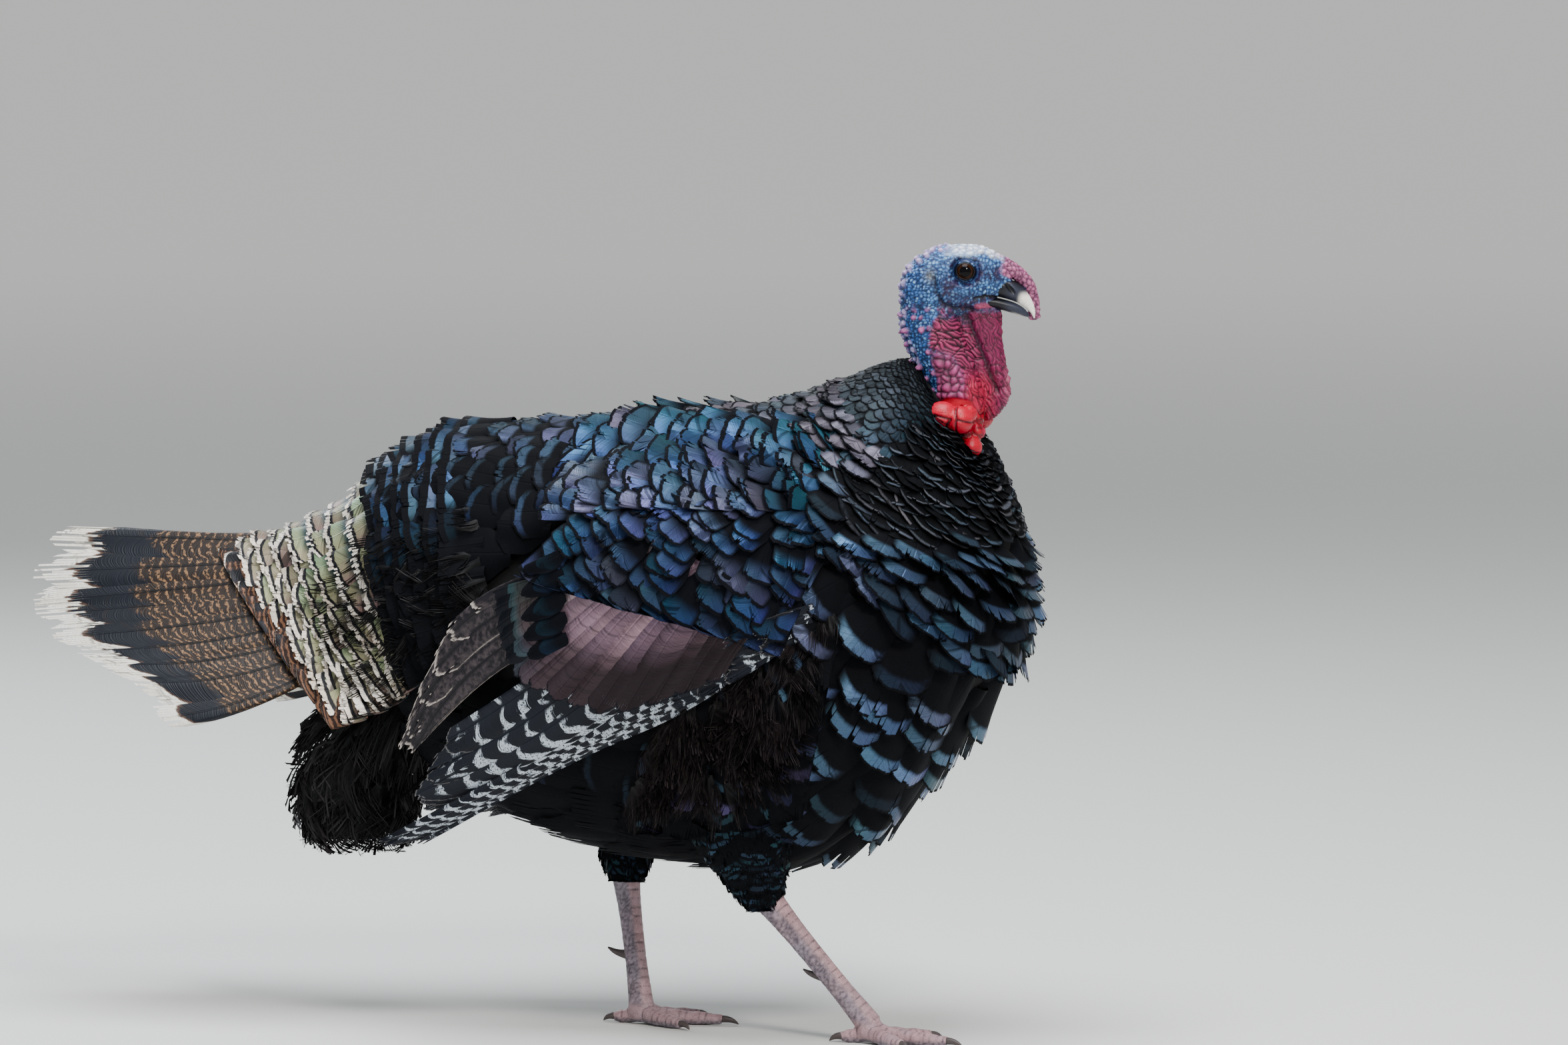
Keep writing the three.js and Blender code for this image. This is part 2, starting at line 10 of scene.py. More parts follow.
import bpy
import numpy as np
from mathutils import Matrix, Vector


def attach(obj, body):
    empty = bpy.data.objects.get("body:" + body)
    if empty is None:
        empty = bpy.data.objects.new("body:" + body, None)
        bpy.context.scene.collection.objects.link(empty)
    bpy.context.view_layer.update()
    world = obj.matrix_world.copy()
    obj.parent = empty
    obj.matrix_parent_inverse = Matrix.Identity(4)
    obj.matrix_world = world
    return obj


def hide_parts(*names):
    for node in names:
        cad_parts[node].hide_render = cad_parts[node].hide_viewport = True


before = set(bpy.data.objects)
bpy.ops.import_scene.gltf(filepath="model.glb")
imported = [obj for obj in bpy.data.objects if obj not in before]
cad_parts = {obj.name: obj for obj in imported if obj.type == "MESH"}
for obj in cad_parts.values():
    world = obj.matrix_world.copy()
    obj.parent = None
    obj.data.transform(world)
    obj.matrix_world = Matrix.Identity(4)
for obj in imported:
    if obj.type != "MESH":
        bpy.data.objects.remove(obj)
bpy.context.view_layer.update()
MM = 0.001
print("frame nodes:", len(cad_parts))

# %% [markdown]
# ## Curves and surfaces from small tables
#
# Every form starts as a short table of sizes. A Catmull-Rom spline runs through the rows, so a
# few numbers give a smooth body. The table is lengthened by one row at each end, in a straight
# line, which keeps the spline from flattening there.

# %% Splines
def spline_weights(t, count):
    """Which four rows matter at t (0 to 1) and how much: the Catmull-Rom blend."""
    x = np.clip(t, 0, 1) * (count - 1)
    i = np.clip(np.floor(x).astype(int), 0, count - 2)
    f = x - i
    w = np.stack([
        -0.5 * f + f**2 - 0.5 * f**3,
        1 - 2.5 * f**2 + 1.5 * f**3,
        0.5 * f + 2 * f**2 - 1.5 * f**3,
        -0.5 * f**2 + 0.5 * f**3,
    ], -1)
    return i[..., None] + np.arange(4), w


def lengthened(rows):
    """The table with one more row at each end, in a straight line."""
    return np.concatenate([[2 * rows[0] - rows[1]], rows, [2 * rows[-1] - rows[-2]]])


def spline(rows, t):
    """Point of the smooth curve through the rows, at t from 0 to 1."""
    rows = np.asarray(rows, float)
    pick, w = spline_weights(np.asarray(t, float), len(rows))
    return np.sum(lengthened(rows)[pick] * w[..., None], axis=-2)


def keyed(rows, key):
    """The smooth values of a table whose first column is the key, such as x."""
    rows = np.asarray(rows, float)
    order = rows[np.argsort(rows[:, 0])]
    t = np.interp(key, order[:, 0], np.linspace(0, 1, len(order)))
    return np.moveaxis(spline(order[:, 1:], t), -1, 0)


def sheet(grid, p, q):
    """Point of the smooth patch through a grid of points: p runs down its rows, q across."""
    grid = np.asarray(grid, float)
    wide = lengthened(np.swapaxes(lengthened(grid), 0, 1))
    wide = np.swapaxes(wide, 0, 1)
    i, wi = spline_weights(p, grid.shape[0])
    j, wj = spline_weights(q, grid.shape[1])
    points = wide[i[..., :, None], j[..., None, :]]
    return np.einsum("...i,...j,...ijk->...k", wi, wj, points)


def pack(*parts):
    """Arrays side by side in one more direction, such as x, y and z as points."""
    return np.stack(np.broadcast_arrays(*parts), -1)


def unit(value):
    """The value, held between 0 and 1."""
    return np.clip(value, 0, 1)


def smooth(low, high, value):
    """0 below low, 1 above high, an S-shaped step between."""
    x = unit((value - low) / (high - low))
    return x * x * (3 - 2 * x)


# %% [markdown]
# ## The body under the plumage
#
# The feathers of a bird run in rows that spread from the neck like the hoops of a lantern. So
# the body is a set of hoops that fan out: each hangs from a point on the line of the back and
# meets a point on the line of the breast and belly. One number runs from neck to tail, another
# round the hoop, and lines of the second kind are the way the feathers lie.

# %% Hoops of the body
# back x, z, breast x, z, half width, in millimetres
HOOPS = np.array([
    [363, 607, 424, 524, 36],
    [350, 612, 436, 500, 52],
    [322, 606, 449, 470, 80],
    [284, 590, 462, 420, 116],
    [250, 577, 464, 372, 140],
    [216, 569, 448, 326, 155],
    [184, 565, 415, 276, 163],
    [150, 562, 372, 222, 166],
    [116, 559, 318, 172, 165],
    [84, 557, 262, 145, 163],
    [52, 555, 200, 142, 160],
    [16, 552, 130, 147, 156],
    [-22, 548, 60, 160, 149],
    [-62, 540, -10, 184, 138],
    [-104, 524, -60, 208, 120],
    [-144, 497, -110, 246, 96],
    [-178, 468, -150, 288, 74],
    [-205, 446, -190, 332, 48],
], float)


def body(s, a, sink=0.0):
    """A hoop point: middle + half the span * cos(a) + half the width * sin(a).

    s runs from neck to tail, a from the back (0) down the right side (pi = the belly); the
    whole surface is sunk by the given depth toward the middle of its hoop.
    """
    bx, bz, fx, fz, wide = np.moveaxis(spline(HOOPS, s), -1, 0) * MM
    c, d = np.cos(a), np.sin(a)
    span = np.hypot(bx - fx, bz - fz) / 2
    shrink = 1 - sink / span
    x = (bx + fx) / 2 + (bx - fx) / 2 * c * shrink
    z = (bz + fz) / 2 + (bz - fz) / 2 * c * shrink
    y = -(wide - sink) * np.sign(d) * np.abs(d) ** 0.88
    return pack(x, y, z)


# x, top, bottom, half width, height of the widest part as a share of the section
TRUNK = [
    [-205, 446, 352, 46, 0.45], [-170, 472, 308, 74, 0.45], [-110, 522, 244, 108, 0.46],
    [-40, 548, 196, 136, 0.47], [40, 554, 166, 152, 0.48], [120, 559, 148, 160, 0.48],
    [200, 568, 142, 163, 0.48], [270, 574, 144, 164, 0.48], [315, 562, 170, 160, 0.48],
    [360, 528, 226, 148, 0.48], [402, 490, 292, 124, 0.5], [434, 456, 346, 92, 0.5],
]
# x, middle height, half height, outer face
WING = [
    [326, 436, 16, 140], [305, 434, 46, 160], [262, 438, 72, 178], [200, 436, 87, 188],
    [130, 421, 92, 191], [64, 394, 84, 187], [8, 364, 66, 176], [-34, 343, 42, 160],
    [-56, 332, 16, 146],
]


def flank(x, z):
    """How far the side stands out at (x, z), in metres: the trunk, and the wing as a swelling.

    The swelling is out - trunk at the wing's middle line and dies away as 1 - share**2.6.
    """
    x, z = x / MM, z / MM
    top, bottom, wide, share = keyed(TRUNK, x)
    waist = bottom + (top - bottom) * share
    rise = np.where(z > waist, (z - waist) / (top - waist), (waist - z) / (waist - bottom))
    trunk = wide * np.clip(1 - rise**2, 0.002, 1) ** 0.45
    middle, tall, out = keyed(WING, x)
    share = unit(np.abs(z - middle) / np.maximum(tall * 1.15, 1))
    fade = smooth(-75, -25, x) * smooth(340, 290, x)
    swell = np.maximum(out - trunk, 0) * (1 - share**2.6) * fade
    return (trunk + swell) * MM


def side_sheet(grid, side, out=0.0):
    """A patch drawn in side view, as a grid of (x, z) or (x, z, y) in millimetres.

    Without a y of its own it lies on the flank. The side is -1 on the right.
    """
    def place(p, q):
        x, z, *own = np.moveaxis(sheet(grid, p, q), -1, 0) * MM
        y = own[0] if own else flank(x, z)
        return pack(x, side * (y + out), z)
    return place


print("body length:", np.round(np.ptp(HOOPS[:, :4:2]) * MM, 3))

# %% [markdown]
# ## One feather, many times
#
# A contour feather is a broad vane with a blunt end. It could be a picture on a card, or
# particle hair, but neither survives as a solid shape. Here it is a small grid that is bent
# over the body: along the shaft it follows the lie of the coat, and its tip lifts off the next
# row. Beyond a certain point the grid is cut into strips, so that the barbs can part and fray.

# %% The flat pattern of a vane
def pattern(rows, strips, split, free=2):
    """A vane laid flat: t from root to tip, v from -1 to 1, cut into strips beyond the split."""
    edges = np.linspace(-1, 1, strips + 1)
    t, v = np.meshgrid(np.linspace(0, split, rows), edges, indexing="ij")
    k = np.arange(strips)
    free_t = np.linspace(split, 1, free + 1)[1:]
    ft, strip, end = np.meshgrid(free_t, k, [0, 1], indexing="ij")
    fv = edges[strip + end]
    centre = (edges[:-1] + edges[1:]) / 2
    body_quads = [
        pack(r * (strips + 1) + k, r * (strips + 1) + k + 1,
             (r + 1) * (strips + 1) + k + 1, (r + 1) * (strips + 1) + k)
        for r in range(rows - 1)
    ]
    base = rows * (strips + 1)
    last = (rows - 1) * (strips + 1)
    free_quads = [pack(last + k, last + k + 1, base + 2 * k + 1, base + 2 * k)]
    for r in range(free - 1):
        a = base + r * strips * 2
        b = a + strips * 2
        free_quads.append(pack(a + 2 * k, a + 2 * k + 1, b + 2 * k + 1, b + 2 * k))
    shared = t.size
    return {
        "t": np.concatenate([t.ravel(), ft.ravel()]),
        "v": np.concatenate([v.ravel(), fv.ravel()]),
        "free": np.concatenate([np.zeros(shared), (ft.ravel() - split) / (1 - split)]),
        "mid": np.concatenate([v.ravel(), centre[strip.ravel()]]),
        "strip": np.concatenate([np.zeros(shared, int), strip.ravel()]),
        "strips": strips,
        "faces": np.concatenate(body_quads + free_quads),
    }


FINE = pattern(6, 12, 0.72)
PLAIN = pattern(5, 8, 0.72)
SMALL = pattern(4, 5, 0.7, 1)
print("triangles in a fine, plain and small vane:",
      *[2 * len(x["faces"]) for x in (FINE, PLAIN, SMALL)])


# %% Growing vanes over a surface
def frame_at(surface, p, q, heart, closed=False):
    """Place, outward normal, length of one unit of p, and one unit of q split in two parts:

    the part square to p, and the part that leans along p.
    """
    e = 2e-3
    p0, p1 = unit(p - e), unit(p + e)
    q0, q1 = (q - e, q + e) if closed else (unit(q - e), unit(q + e))
    along = (surface(p1, q) - surface(p0, q)) / (p1 - p0)[..., None]
    across = (surface(p, q1) - surface(p, q0)) / (q1 - q0)[..., None]
    here = surface(p, q)
    normal = np.cross(along, across)
    normal /= np.linalg.norm(normal, axis=-1, keepdims=True) + 1e-12
    out = np.sum(normal * (here - heart), axis=-1)
    normal *= np.sign(np.mean(out))
    unit_p = np.linalg.norm(along, axis=-1)
    lean = np.sum(along * across, axis=-1) / unit_p
    unit_q = np.sqrt(np.maximum(np.sum(across**2, axis=-1) - lean**2, 1e-10))
    return here, normal, unit_p, unit_q, lean


HEART = np.array([0.12, 0.0, 0.36])  # deep in the body; every normal faces away from it
rng = np.random.default_rng(11)
# the form of a vane, where its tract doesn't say otherwise
DEFAULT = dict(rise=0.002, lift=0.006, hump=1.6, cup=-0.002, blunt=0.12, square=3.5, narrow=0.4,
               taper=0.0, fringe=0.05, pinch=0.15, gap=0.12, spin=0.06, turn=0.0, curl=0.0,
               wave=0.0008, stray=0.0, to=None, closed=False, heart=HEART)


def grow(surface, places, length, width, shape, **form):
    """All the vanes of one tract, as points, faces and the numbers its finish reads.

    On a vane, along = length * t * (1 - blunt * |v|**square) and
    across = width / 2 * v * profile(t); both are turned by a small angle and laid on the
    surface, and the point stands off it by rise + lift * t**hump + cup * v**2.
    """
    f = SimpleNamespace(**{k: (v[:, None] if np.ndim(v) == 1 and k != "heart" else v)
                           for k, v in (DEFAULT | form).items()})
    p, q = places["p"][:, None], places["q"][:, None]
    n = len(p)
    length, width = (np.broadcast_to(x, n)[:, None] for x in (length, width))
    _, _, unit_p, _, lean = frame_at(surface, p, q, f.heart, f.closed)
    if f.to is not None:
        unit_p = length / (f.to - p)
    t, v = shape["t"][None], shape["v"][None]
    free, mid, strip = shape["free"][None], shape["mid"][None], shape["strip"]
    lucky = rng.random((n, shape["strips"]))[:, strip]
    torn = (rng.random((n, shape["strips"])) < f.gap)[:, strip]
    v_bent = mid + (v - mid) * (1 - free * (f.pinch + 0.5 * torn))
    v_bent = v_bent + f.stray * free**2 * (lucky - 0.5)
    tip = 1 + free * (f.fringe * (lucky - 0.5) - 0.06 * torn)
    profile = f.narrow + (1 - f.narrow) * smooth(0, 0.6, t)
    profile = profile * (1 - f.taper * t**3)
    along = length * t * tip * (1 - f.blunt * np.abs(v) ** f.square)
    across = width / 2 * v_bent * profile
    angle = f.turn + rng.normal(0, f.spin, (n, 1))
    fore = along * np.cos(angle) - across * np.sin(angle)
    side = along * np.sin(angle) + across * np.cos(angle)
    at_p = np.clip(p + fore / unit_p, 0, 0.999)
    _, _, _, unit_q, _ = frame_at(surface, at_p, q + 0 * at_p, f.heart, f.closed)
    at_q = q + side / unit_q
    if not f.closed:
        at_q = np.clip(at_q, 0.001, 0.999)
    at_p = np.clip(at_p - lean * (at_q - q) / unit_p, 0, 0.999)
    here, normal, *_ = frame_at(surface, at_p, at_q, f.heart, f.closed)
    size = width / 0.04
    loose = rng.normal(1, 0.18, (n, 1))
    phase = rng.uniform(0, 6.28, (n, 1))
    high = (f.rise + f.lift * loose * t ** f.hump + f.cup * v**2 * size + f.curl * t**6
            + f.wave * np.sin(5 * v + 3 * t + phase) * t
            + 0.012 * f.stray * free * (lucky - 0.4))
    points = here + normal * high[..., None]
    tuft = rng.random(n)
    return {
        "points": points.reshape(-1, 3),
        "faces": (shape["faces"][None] + np.arange(n)[:, None, None] * len(shape["t"])
                  ).reshape(-1, 4),
        "vane": pack(v * 0.5 + 0.5, t + 0 * p).reshape(-1, 2),
        "span": pack(across, (1 - t) * length, tuft[:, None]).reshape(-1, 3),
        "count": n, "per": len(shape["t"]),
    }


def staggered(p_rows, columns, loose):
    """Places in rows, every second row moved on by half a feather, a little out of line."""
    p_rows = np.asarray(p_rows, float)
    gap = np.gradient(p_rows)
    r, c = np.meshgrid(np.arange(len(p_rows)), np.arange(columns), indexing="ij")
    r, c = r.ravel(), c.ravel()
    p = p_rows[r] + gap[r] * rng.normal(0, loose, r.size)
    q = np.clip((c + 0.25 + 0.5 * (r % 2) + rng.normal(0, loose, r.size)) / columns,
                0.002, 0.998)
    return {"p": np.clip(p, 0.001, 0.99), "q": q, "row": r, "col": c,
            "rows": len(p_rows), "cols": columns, "gap": gap[r]}


# %% [markdown]
# ## From arrays to an object
#
# Each piece of plumage is one joined mesh. Besides its shape it carries what its finish needs:
# a "Vane" map (across, along), "span" (distance from the shaft, distance from the tip, a random
# number for each feather) and "tint" (the colour of the feather's band) with "bands" (width of
# its dark edge, height of its bright band, strength). The map OFBake gives every feather its
# own small patch, in the order of the rows on the body.

# %% Building a mesh
def mesh_object(name, points, faces, material, smooth_shading=True):
    """An object at the origin from points and faces, all three or all four sided."""
    mesh = bpy.data.meshes.new(name)
    corners = faces.shape[1]
    mesh.vertices.add(len(points))
    mesh.vertices.foreach_set("co", np.ascontiguousarray(points, np.float32).ravel())
    mesh.loops.add(faces.size)
    mesh.loops.foreach_set("vertex_index", np.ascontiguousarray(faces, np.int32).ravel())
    mesh.polygons.add(len(faces))
    mesh.polygons.foreach_set("loop_start", np.arange(0, faces.size, corners, dtype=np.int32))
    mesh.update(calc_edges=True)
    if smooth_shading:
        mesh.shade_smooth()
    mesh.materials.append(material)
    thing = bpy.data.objects.new(name, mesh)
    bpy.context.scene.collection.objects.link(thing)
    return thing


def give(thing, name, values):
    """Stores one vector for each point under a name that materials can read."""
    layer = thing.data.attributes.new(name, "FLOAT_VECTOR", "POINT")
    layer.data.foreach_set("vector", np.ascontiguousarray(values, np.float32).ravel())


def give_map(thing, name, values):
    """Stores a flat map, given for each point, on the corners of the faces."""
    layer = thing.data.uv_layers.new(name=name)
    corner = np.empty(len(thing.data.loops), np.int32)
    thing.data.loops.foreach_get("vertex_index", corner)
    layer.uv.foreach_set("vector", np.ascontiguousarray(values[corner], np.float32).ravel())


def settle(thing, nodes=()):
    """Puts a piece on the body, in place of the CAD nodes that it covers."""
    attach(thing, "root")
    if nodes:
        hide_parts(*nodes)
    print(thing.name, "triangles:", len(thing.data.loops) - 2 * len(thing.data.polygons))


def coat_piece(name, tracts, material, nodes=()):
    """Joins tracts into one object. A tract is (vanes, places, tint per vane, bands per vane)."""
    start, parts = 0, []
    for k, (vanes, places, *numbers) in enumerate(tracts):
        count, per = vanes["count"], vanes["per"]
        tint, bands = (np.repeat(np.broadcast_to(x, (count, 3)), per, axis=0) for x in numbers)
        cell = pack(places["col"], places["row"]).repeat(per, axis=0)
        cell = (cell + 0.1 + 0.8 * vanes["vane"]) / [places["cols"], places["rows"]]
        parts.append((vanes["points"], vanes["faces"] + start, vanes["vane"],
                      (cell + [0, k]) / [1, len(tracts)], vanes["span"], tint, bands))
        start += count * per
    points, faces, vane, bake, span, tint, bands = map(np.concatenate, zip(*parts))
    thing = mesh_object(name, points, faces, material)
    give_map(thing, "Vane", vane)
    give_map(thing, "OFBake", bake)
    give(thing, "span", span)
    give(thing, "tint", tint)
    give(thing, "bands", bands)
    settle(thing, nodes)


# %% [markdown]
# ## Finishes
#
# A feather's colour is its pattern along the shaft, the fine lines of its barbs, and for this
# bird an oil-film gloss that drifts from blue to green to copper. The barbs and the drift are
# node groups, because every feather finish uses them; each finish adds its own pattern. A
# pattern takes dozens of Math nodes. So that it can be read as a formula, a node's output is
# wrapped as a wire, and arithmetic on wires adds the nodes.

# %% Wires between nodes
def feed(tree, node, inputs):
    """Links wires to the inputs of a node and sets plain values on them."""
    for key, value in inputs.items():
        if isinstance(value, Wire):
            tree.links.new(value.out, node.inputs[key])
        else:
            node.inputs[key].default_value = value


def add(tree, kind, inputs, out=0, **settings):
    """Adds a node; returns the wire from one output, or a list of wires from several."""
    node = tree.nodes.new(kind)
    for key, value in settings.items():
        setattr(node, key, value)
    feed(tree, node, inputs)
    if isinstance(out, tuple):
        return [Wire(tree, node.outputs[key]) for key in out]
    return Wire(tree, node.outputs[out])


class Wire:
    """One output of a node. Arithmetic on it adds Math nodes to its tree."""

    def __init__(self, tree, out):
        self.tree, self.out = tree, out

    def maths(self, operation, b=0.0, c=0.0):
        """A Math node on this wire."""
        return add(self.tree, "ShaderNodeMath", {0: self, 1: b, 2: c}, operation=operation)

    def __abs__(self):
        return self.maths("ABSOLUTE")

    def __add__(self, other):
        return self.maths("ADD", other)

    def __sub__(self, other):
        return self.maths("SUBTRACT", other)

    def __rsub__(self, other):
        return add(self.tree, "ShaderNodeMath", {0: other, 1: self}, operation="SUBTRACT")

    def __mul__(self, other):
        return self.maths("MULTIPLY", other)

    def times(self, factor, plus):
        """self * factor + plus, in one node."""
        return self.maths("MULTIPLY_ADD", factor, plus)

    def over(self, other):
        """The larger of two."""
        return self.maths("MAXIMUM", other)

    def step(self, low, high):
        """0 below low, 1 above high, smooth between."""
        return add(self.tree, "ShaderNodeMapRange", {"Value": self, "From Min": low,
                                                     "From Max": high},
                   interpolation_type="SMOOTHSTEP")

    def stripes(self, spacing):
        """0 in the middle of each stripe, 0.5 halfway to the next."""
        return abs(self.maths("DIVIDE", spacing).maths("FRACT") - 0.5)

    def noise(self, scale, detail=2.0):
        """Soft noise from 0 to 1 at the place that this wire holds."""
        return add(self.tree, "ShaderNodeTexNoise", {"Vector": self, "Scale": scale,
                                                     "Detail": detail})

    def bump(self, strength, distance):
        """The normal of a surface with this height."""
        return add(self.tree, "ShaderNodeBump", {"Height": self, "Strength": strength,
                                                 "Distance": distance})

    def split(self):
        """The three parts of a vector."""
        return add(self.tree, "ShaderNodeSeparateXYZ", {0: self}, (0, 1, 2))

    def ramp(self, first, last):
        """A colour ramp between two stops of (position, r, g, b)."""
        colour = add(self.tree, "ShaderNodeValToRGB", {0: self})
        for element, (place, *rgb) in zip(colour.out.node.color_ramp.elements, (first, last)):
            element.position, element.color = place, (*rgb, 1)
        return colour


def vector(x, y, z=0.0):
    """Three wires or numbers as one vector."""
    return add(x.tree, "ShaderNodeCombineXYZ", {0: x, 1: y, 2: z})


def mix(factor, a, b, blend="MIX"):
    """Blends two colours, given as wires or as (r, g, b)."""
    tree = next(x.tree for x in (factor, a, b) if isinstance(x, Wire))
    a, b = (x if isinstance(x, Wire) else (*x, 1) for x in (a, b))
    return add(tree, "ShaderNodeMix", {0: factor, 6: a, 7: b}, 2, data_type="RGBA",
               blend_type=blend)


def read(tree, name):
    """The vector stored under a name on the mesh, and its three parts."""
    stored = add(tree, "ShaderNodeAttribute", {}, "Vector", attribute_name=name)
    return stored, *stored.split()


def object_place(tree):
    """Object coordinates, which for every piece are the bird's own."""
    return add(tree, "ShaderNodeTexCoord", {}, "Object")


def vane_side(tree):
    """-1 at one edge of the vane, 0 at the shaft, 1 at the other edge."""
    return add(tree, "ShaderNodeUVMap", {}, uv_map="Vane").split()[0].times(2.0, -1.0)


def blank(name):
    """A new material and its tree, empty but for the shader."""
    material = bpy.data.materials.new(name)
    material.use_nodes = True
    return material, material.node_tree


def paint(material, inputs):
    """Feeds the shader of a material and returns the material."""
    feed(material.node_tree, material.node_tree.nodes["Principled BSDF"], inputs)
    return material


def group(name, inputs, outputs, draw):
    """A node group with named sockets; draw makes its output wires from its input wires."""
    tree = bpy.data.node_groups.new(name, "ShaderNodeTree")
    for way, sockets in (("INPUT", inputs), ("OUTPUT", outputs)):
        for label, kind in sockets.items():
            tree.interface.new_socket(label, in_out=way, socket_type=f"NodeSocket{kind}")
    start = add(tree, "NodeGroupInput", {}, tuple(inputs))
    feed(tree, tree.nodes.new("NodeGroupOutput"), dict(zip(outputs, draw(*start))))
    return tree


# %% Barbs and oil-film drift, as groups
def draw_barbs(span, fineness, slant):
    """Lines that leave the shaft at a slant: noise of (tip distance + slant * |across|)."""
    across, tip, tuft = span.split()
    line = abs(across).times(slant, tip) * fineness
    seed, side = tuft * 37.0, across.maths("SIGN")
    return (vector(line, seed, side).noise(1.0, 1.0), vector(line * 0.12, seed, side).noise(1.0),
            abs(across).step(0.0011, 0.0004))


def draw_film(tint, span, drift, glow):
    """Turns the hue of a tint by slow noise over the body, by each feather's own number and
    from one edge of the vane to the other."""
    across, _, tuft = span.split()
    where, own = object_place(span.tree), tuft - 0.5
    turn = (where.noise(60.0, 1.0) - 0.5).times(0.4, where.noise(9.0) - 0.5)
    turn = across.times(14.0, own.times(0.45, turn))
    return [add(span.tree, "ShaderNodeHueSaturation",
                {"Color": tint, "Hue": turn.times(drift, 0.5), "Value": own.times(0.5, glow)})]


BARBS = group("Barbs", {"Span": "Vector", "Fineness": "Float", "Slant": "Float"},
              {"Lines": "Float", "Clump": "Float", "Shaft": "Float"}, draw_barbs)
FILM = group("Oil film", {"Tint": "Vector", "Span": "Vector", "Drift": "Float", "Glow": "Float"},
             {"Color": "Color"}, draw_film)


def barbs(span, fineness, slant):
    """The barb lines, their clumps and the shaft."""
    return add(span.tree, "ShaderNodeGroup", {"Span": span, "Fineness": fineness, "Slant": slant},
               ("Lines", "Clump", "Shaft"), node_tree=BARBS)


def oil_film(tint, span, drift):
    """The tint, with its hue drifting."""
    return add(span.tree, "ShaderNodeGroup",
               {"Tint": tint, "Span": span, "Drift": drift, "Glow": 1.0}, node_tree=FILM)


# %% The finish of the body feathers
MATT = 0.72  # roughness of a feather outside its bright band


def slits(clump, depth):
    """Thin dark gaps between clumps of barbs: painted shade in the gaps."""
    return clump.step(0.4, 0.34) * depth


def contour_finish(name, dark, metallic, roughness, drift=0.07, soft=0.75, relief=0.4, lens=0.72):
    """Dark feather with a black edge and a bright band behind it, whose tint it reads.

    The band is brightest next to the edge and fades toward the root over a share of its height
    (soft): that fade is painted shade, where the feather above lies over the band. It narrows
    toward its ends like a lens; slits of painted shade cross it.
    """
    material, tree = blank(name)
    span, _, tip, _ = read(tree, "span")
    _, edge, tall, strength = read(tree, "bands")
    lines, clump, shaft = barbs(span, 1100.0, 0.7)
    depth = (clump - 0.5).times(0.0011, tip)
    far = edge + tall
    # painted shade: the band fades toward the root, under the feather above
    band = depth.step(edge, edge + 0.001) * depth.step(far, tall.times(-soft, far)) * strength
    band = band * abs(vane_side(tree)).step(1.0, lens)
    shade = lines.times(1.0, 0.5) * (1.0 - slits(clump, 0.6))
    lit = mix(1.0, oil_film(read(tree, "tint")[0], span, drift), shade, "MULTIPLY")
    return paint(material, {
        "Base Color": mix(band, dark, lit), "Metallic": band * metallic,
        "Roughness": band.times(roughness - MATT, MATT), "Specular IOR Level": 0.06,
        "Normal": shaft.times(1.5, lines).bump(relief, 0.0006)})


# soft: share of the band's height that the painted shade under the feather above reaches
STEEL = contour_finish("steel_feather", (0.0018, 0.002, 0.0032), 0.75, 0.34, soft=0.4, lens=0.5)
MANTLE = contour_finish("mantle_feather", (0.002, 0.0022, 0.003), 0.45, 0.46, soft=0.5,
                        relief=0.25)
print("feather finishes:", STEEL.name, MANTLE.name)

# %% [markdown]
# ## Hood, back and breast
#
# Round the neck the feathers are as small as scales, and they grow with every row until a
# breast feather is as wide as three fingers. The rows are set by their distance along the
# hoops: close at the neck, far apart on the breast. The wing hides the flank, so nothing is
# grown there.

# %% Rows of the body
SINK = 0.009  # how far inside the plumage's outline the feathers are rooted


def body_place(p, q):
    """The body under its feathers; q goes once round, from the belly over the right side."""
    turn = 2 * (q % 1.0) - 1
    a = np.pi * (0.72 * turn + 0.28 * turn**3)
    return body(p, a, SINK)


def spaced(start, end, first, last):
    """Numbers from start to end whose steps grow from first to last."""
    steps, here = [start], start
    while here < end:
        share = (here - start) / (end - start)
        here += first + (last - first) * share
        steps.append(here)
    return np.array(steps[:-1])


def measured(surface, places, cover_long, cover_wide):
    """Length and width of each vane from the room between its neighbours."""
    _, _, unit_p, unit_q, _ = frame_at(surface, places["p"], places["q"], HEART)
    return places["gap"] * unit_p * cover_long, unit_q / places["cols"] * cover_wide


def keep(places, mask):
    """Only the places where the mask holds."""
    return {k: (v[mask] if isinstance(v, np.ndarray) else v) for k, v in places.items()}


def mixed(stops, share):
    """A colour between the stops (position, r, g, b)."""
    stops = np.array(stops, float)
    return np.stack([np.interp(share, stops[:, 0], stops[:, k]) for k in (1, 2, 3)], -1)


def front_share(here):
    """1 on the slope from the neck's lower edge to the breast, 0 on the neck and the back."""
    x, z = here[:, 0] / MM, here[:, 2] / MM
    below = (x - 345) * 0.62 - (z - 530) * 0.78
    return smooth(0, 16, below) * smooth(330, 350, x)


def chosen_of(places, mask):
    """The places on the body whose points pass the mask, and those points."""
    here = body_place(places["p"], places["q"])
    chosen = mask(here)
    return keep(places, chosen), here[chosen]


def patchy(here, size, seed):
    """A number from 0 to 1 that drifts over the body: three crossed sine waves."""
    x, y, z = (here / size).T
    return 0.5 + (np.sin(x + seed) + np.sin(1.3 * z + 2 * seed) + np.sin(x + z - y + 3 * seed)) / 6


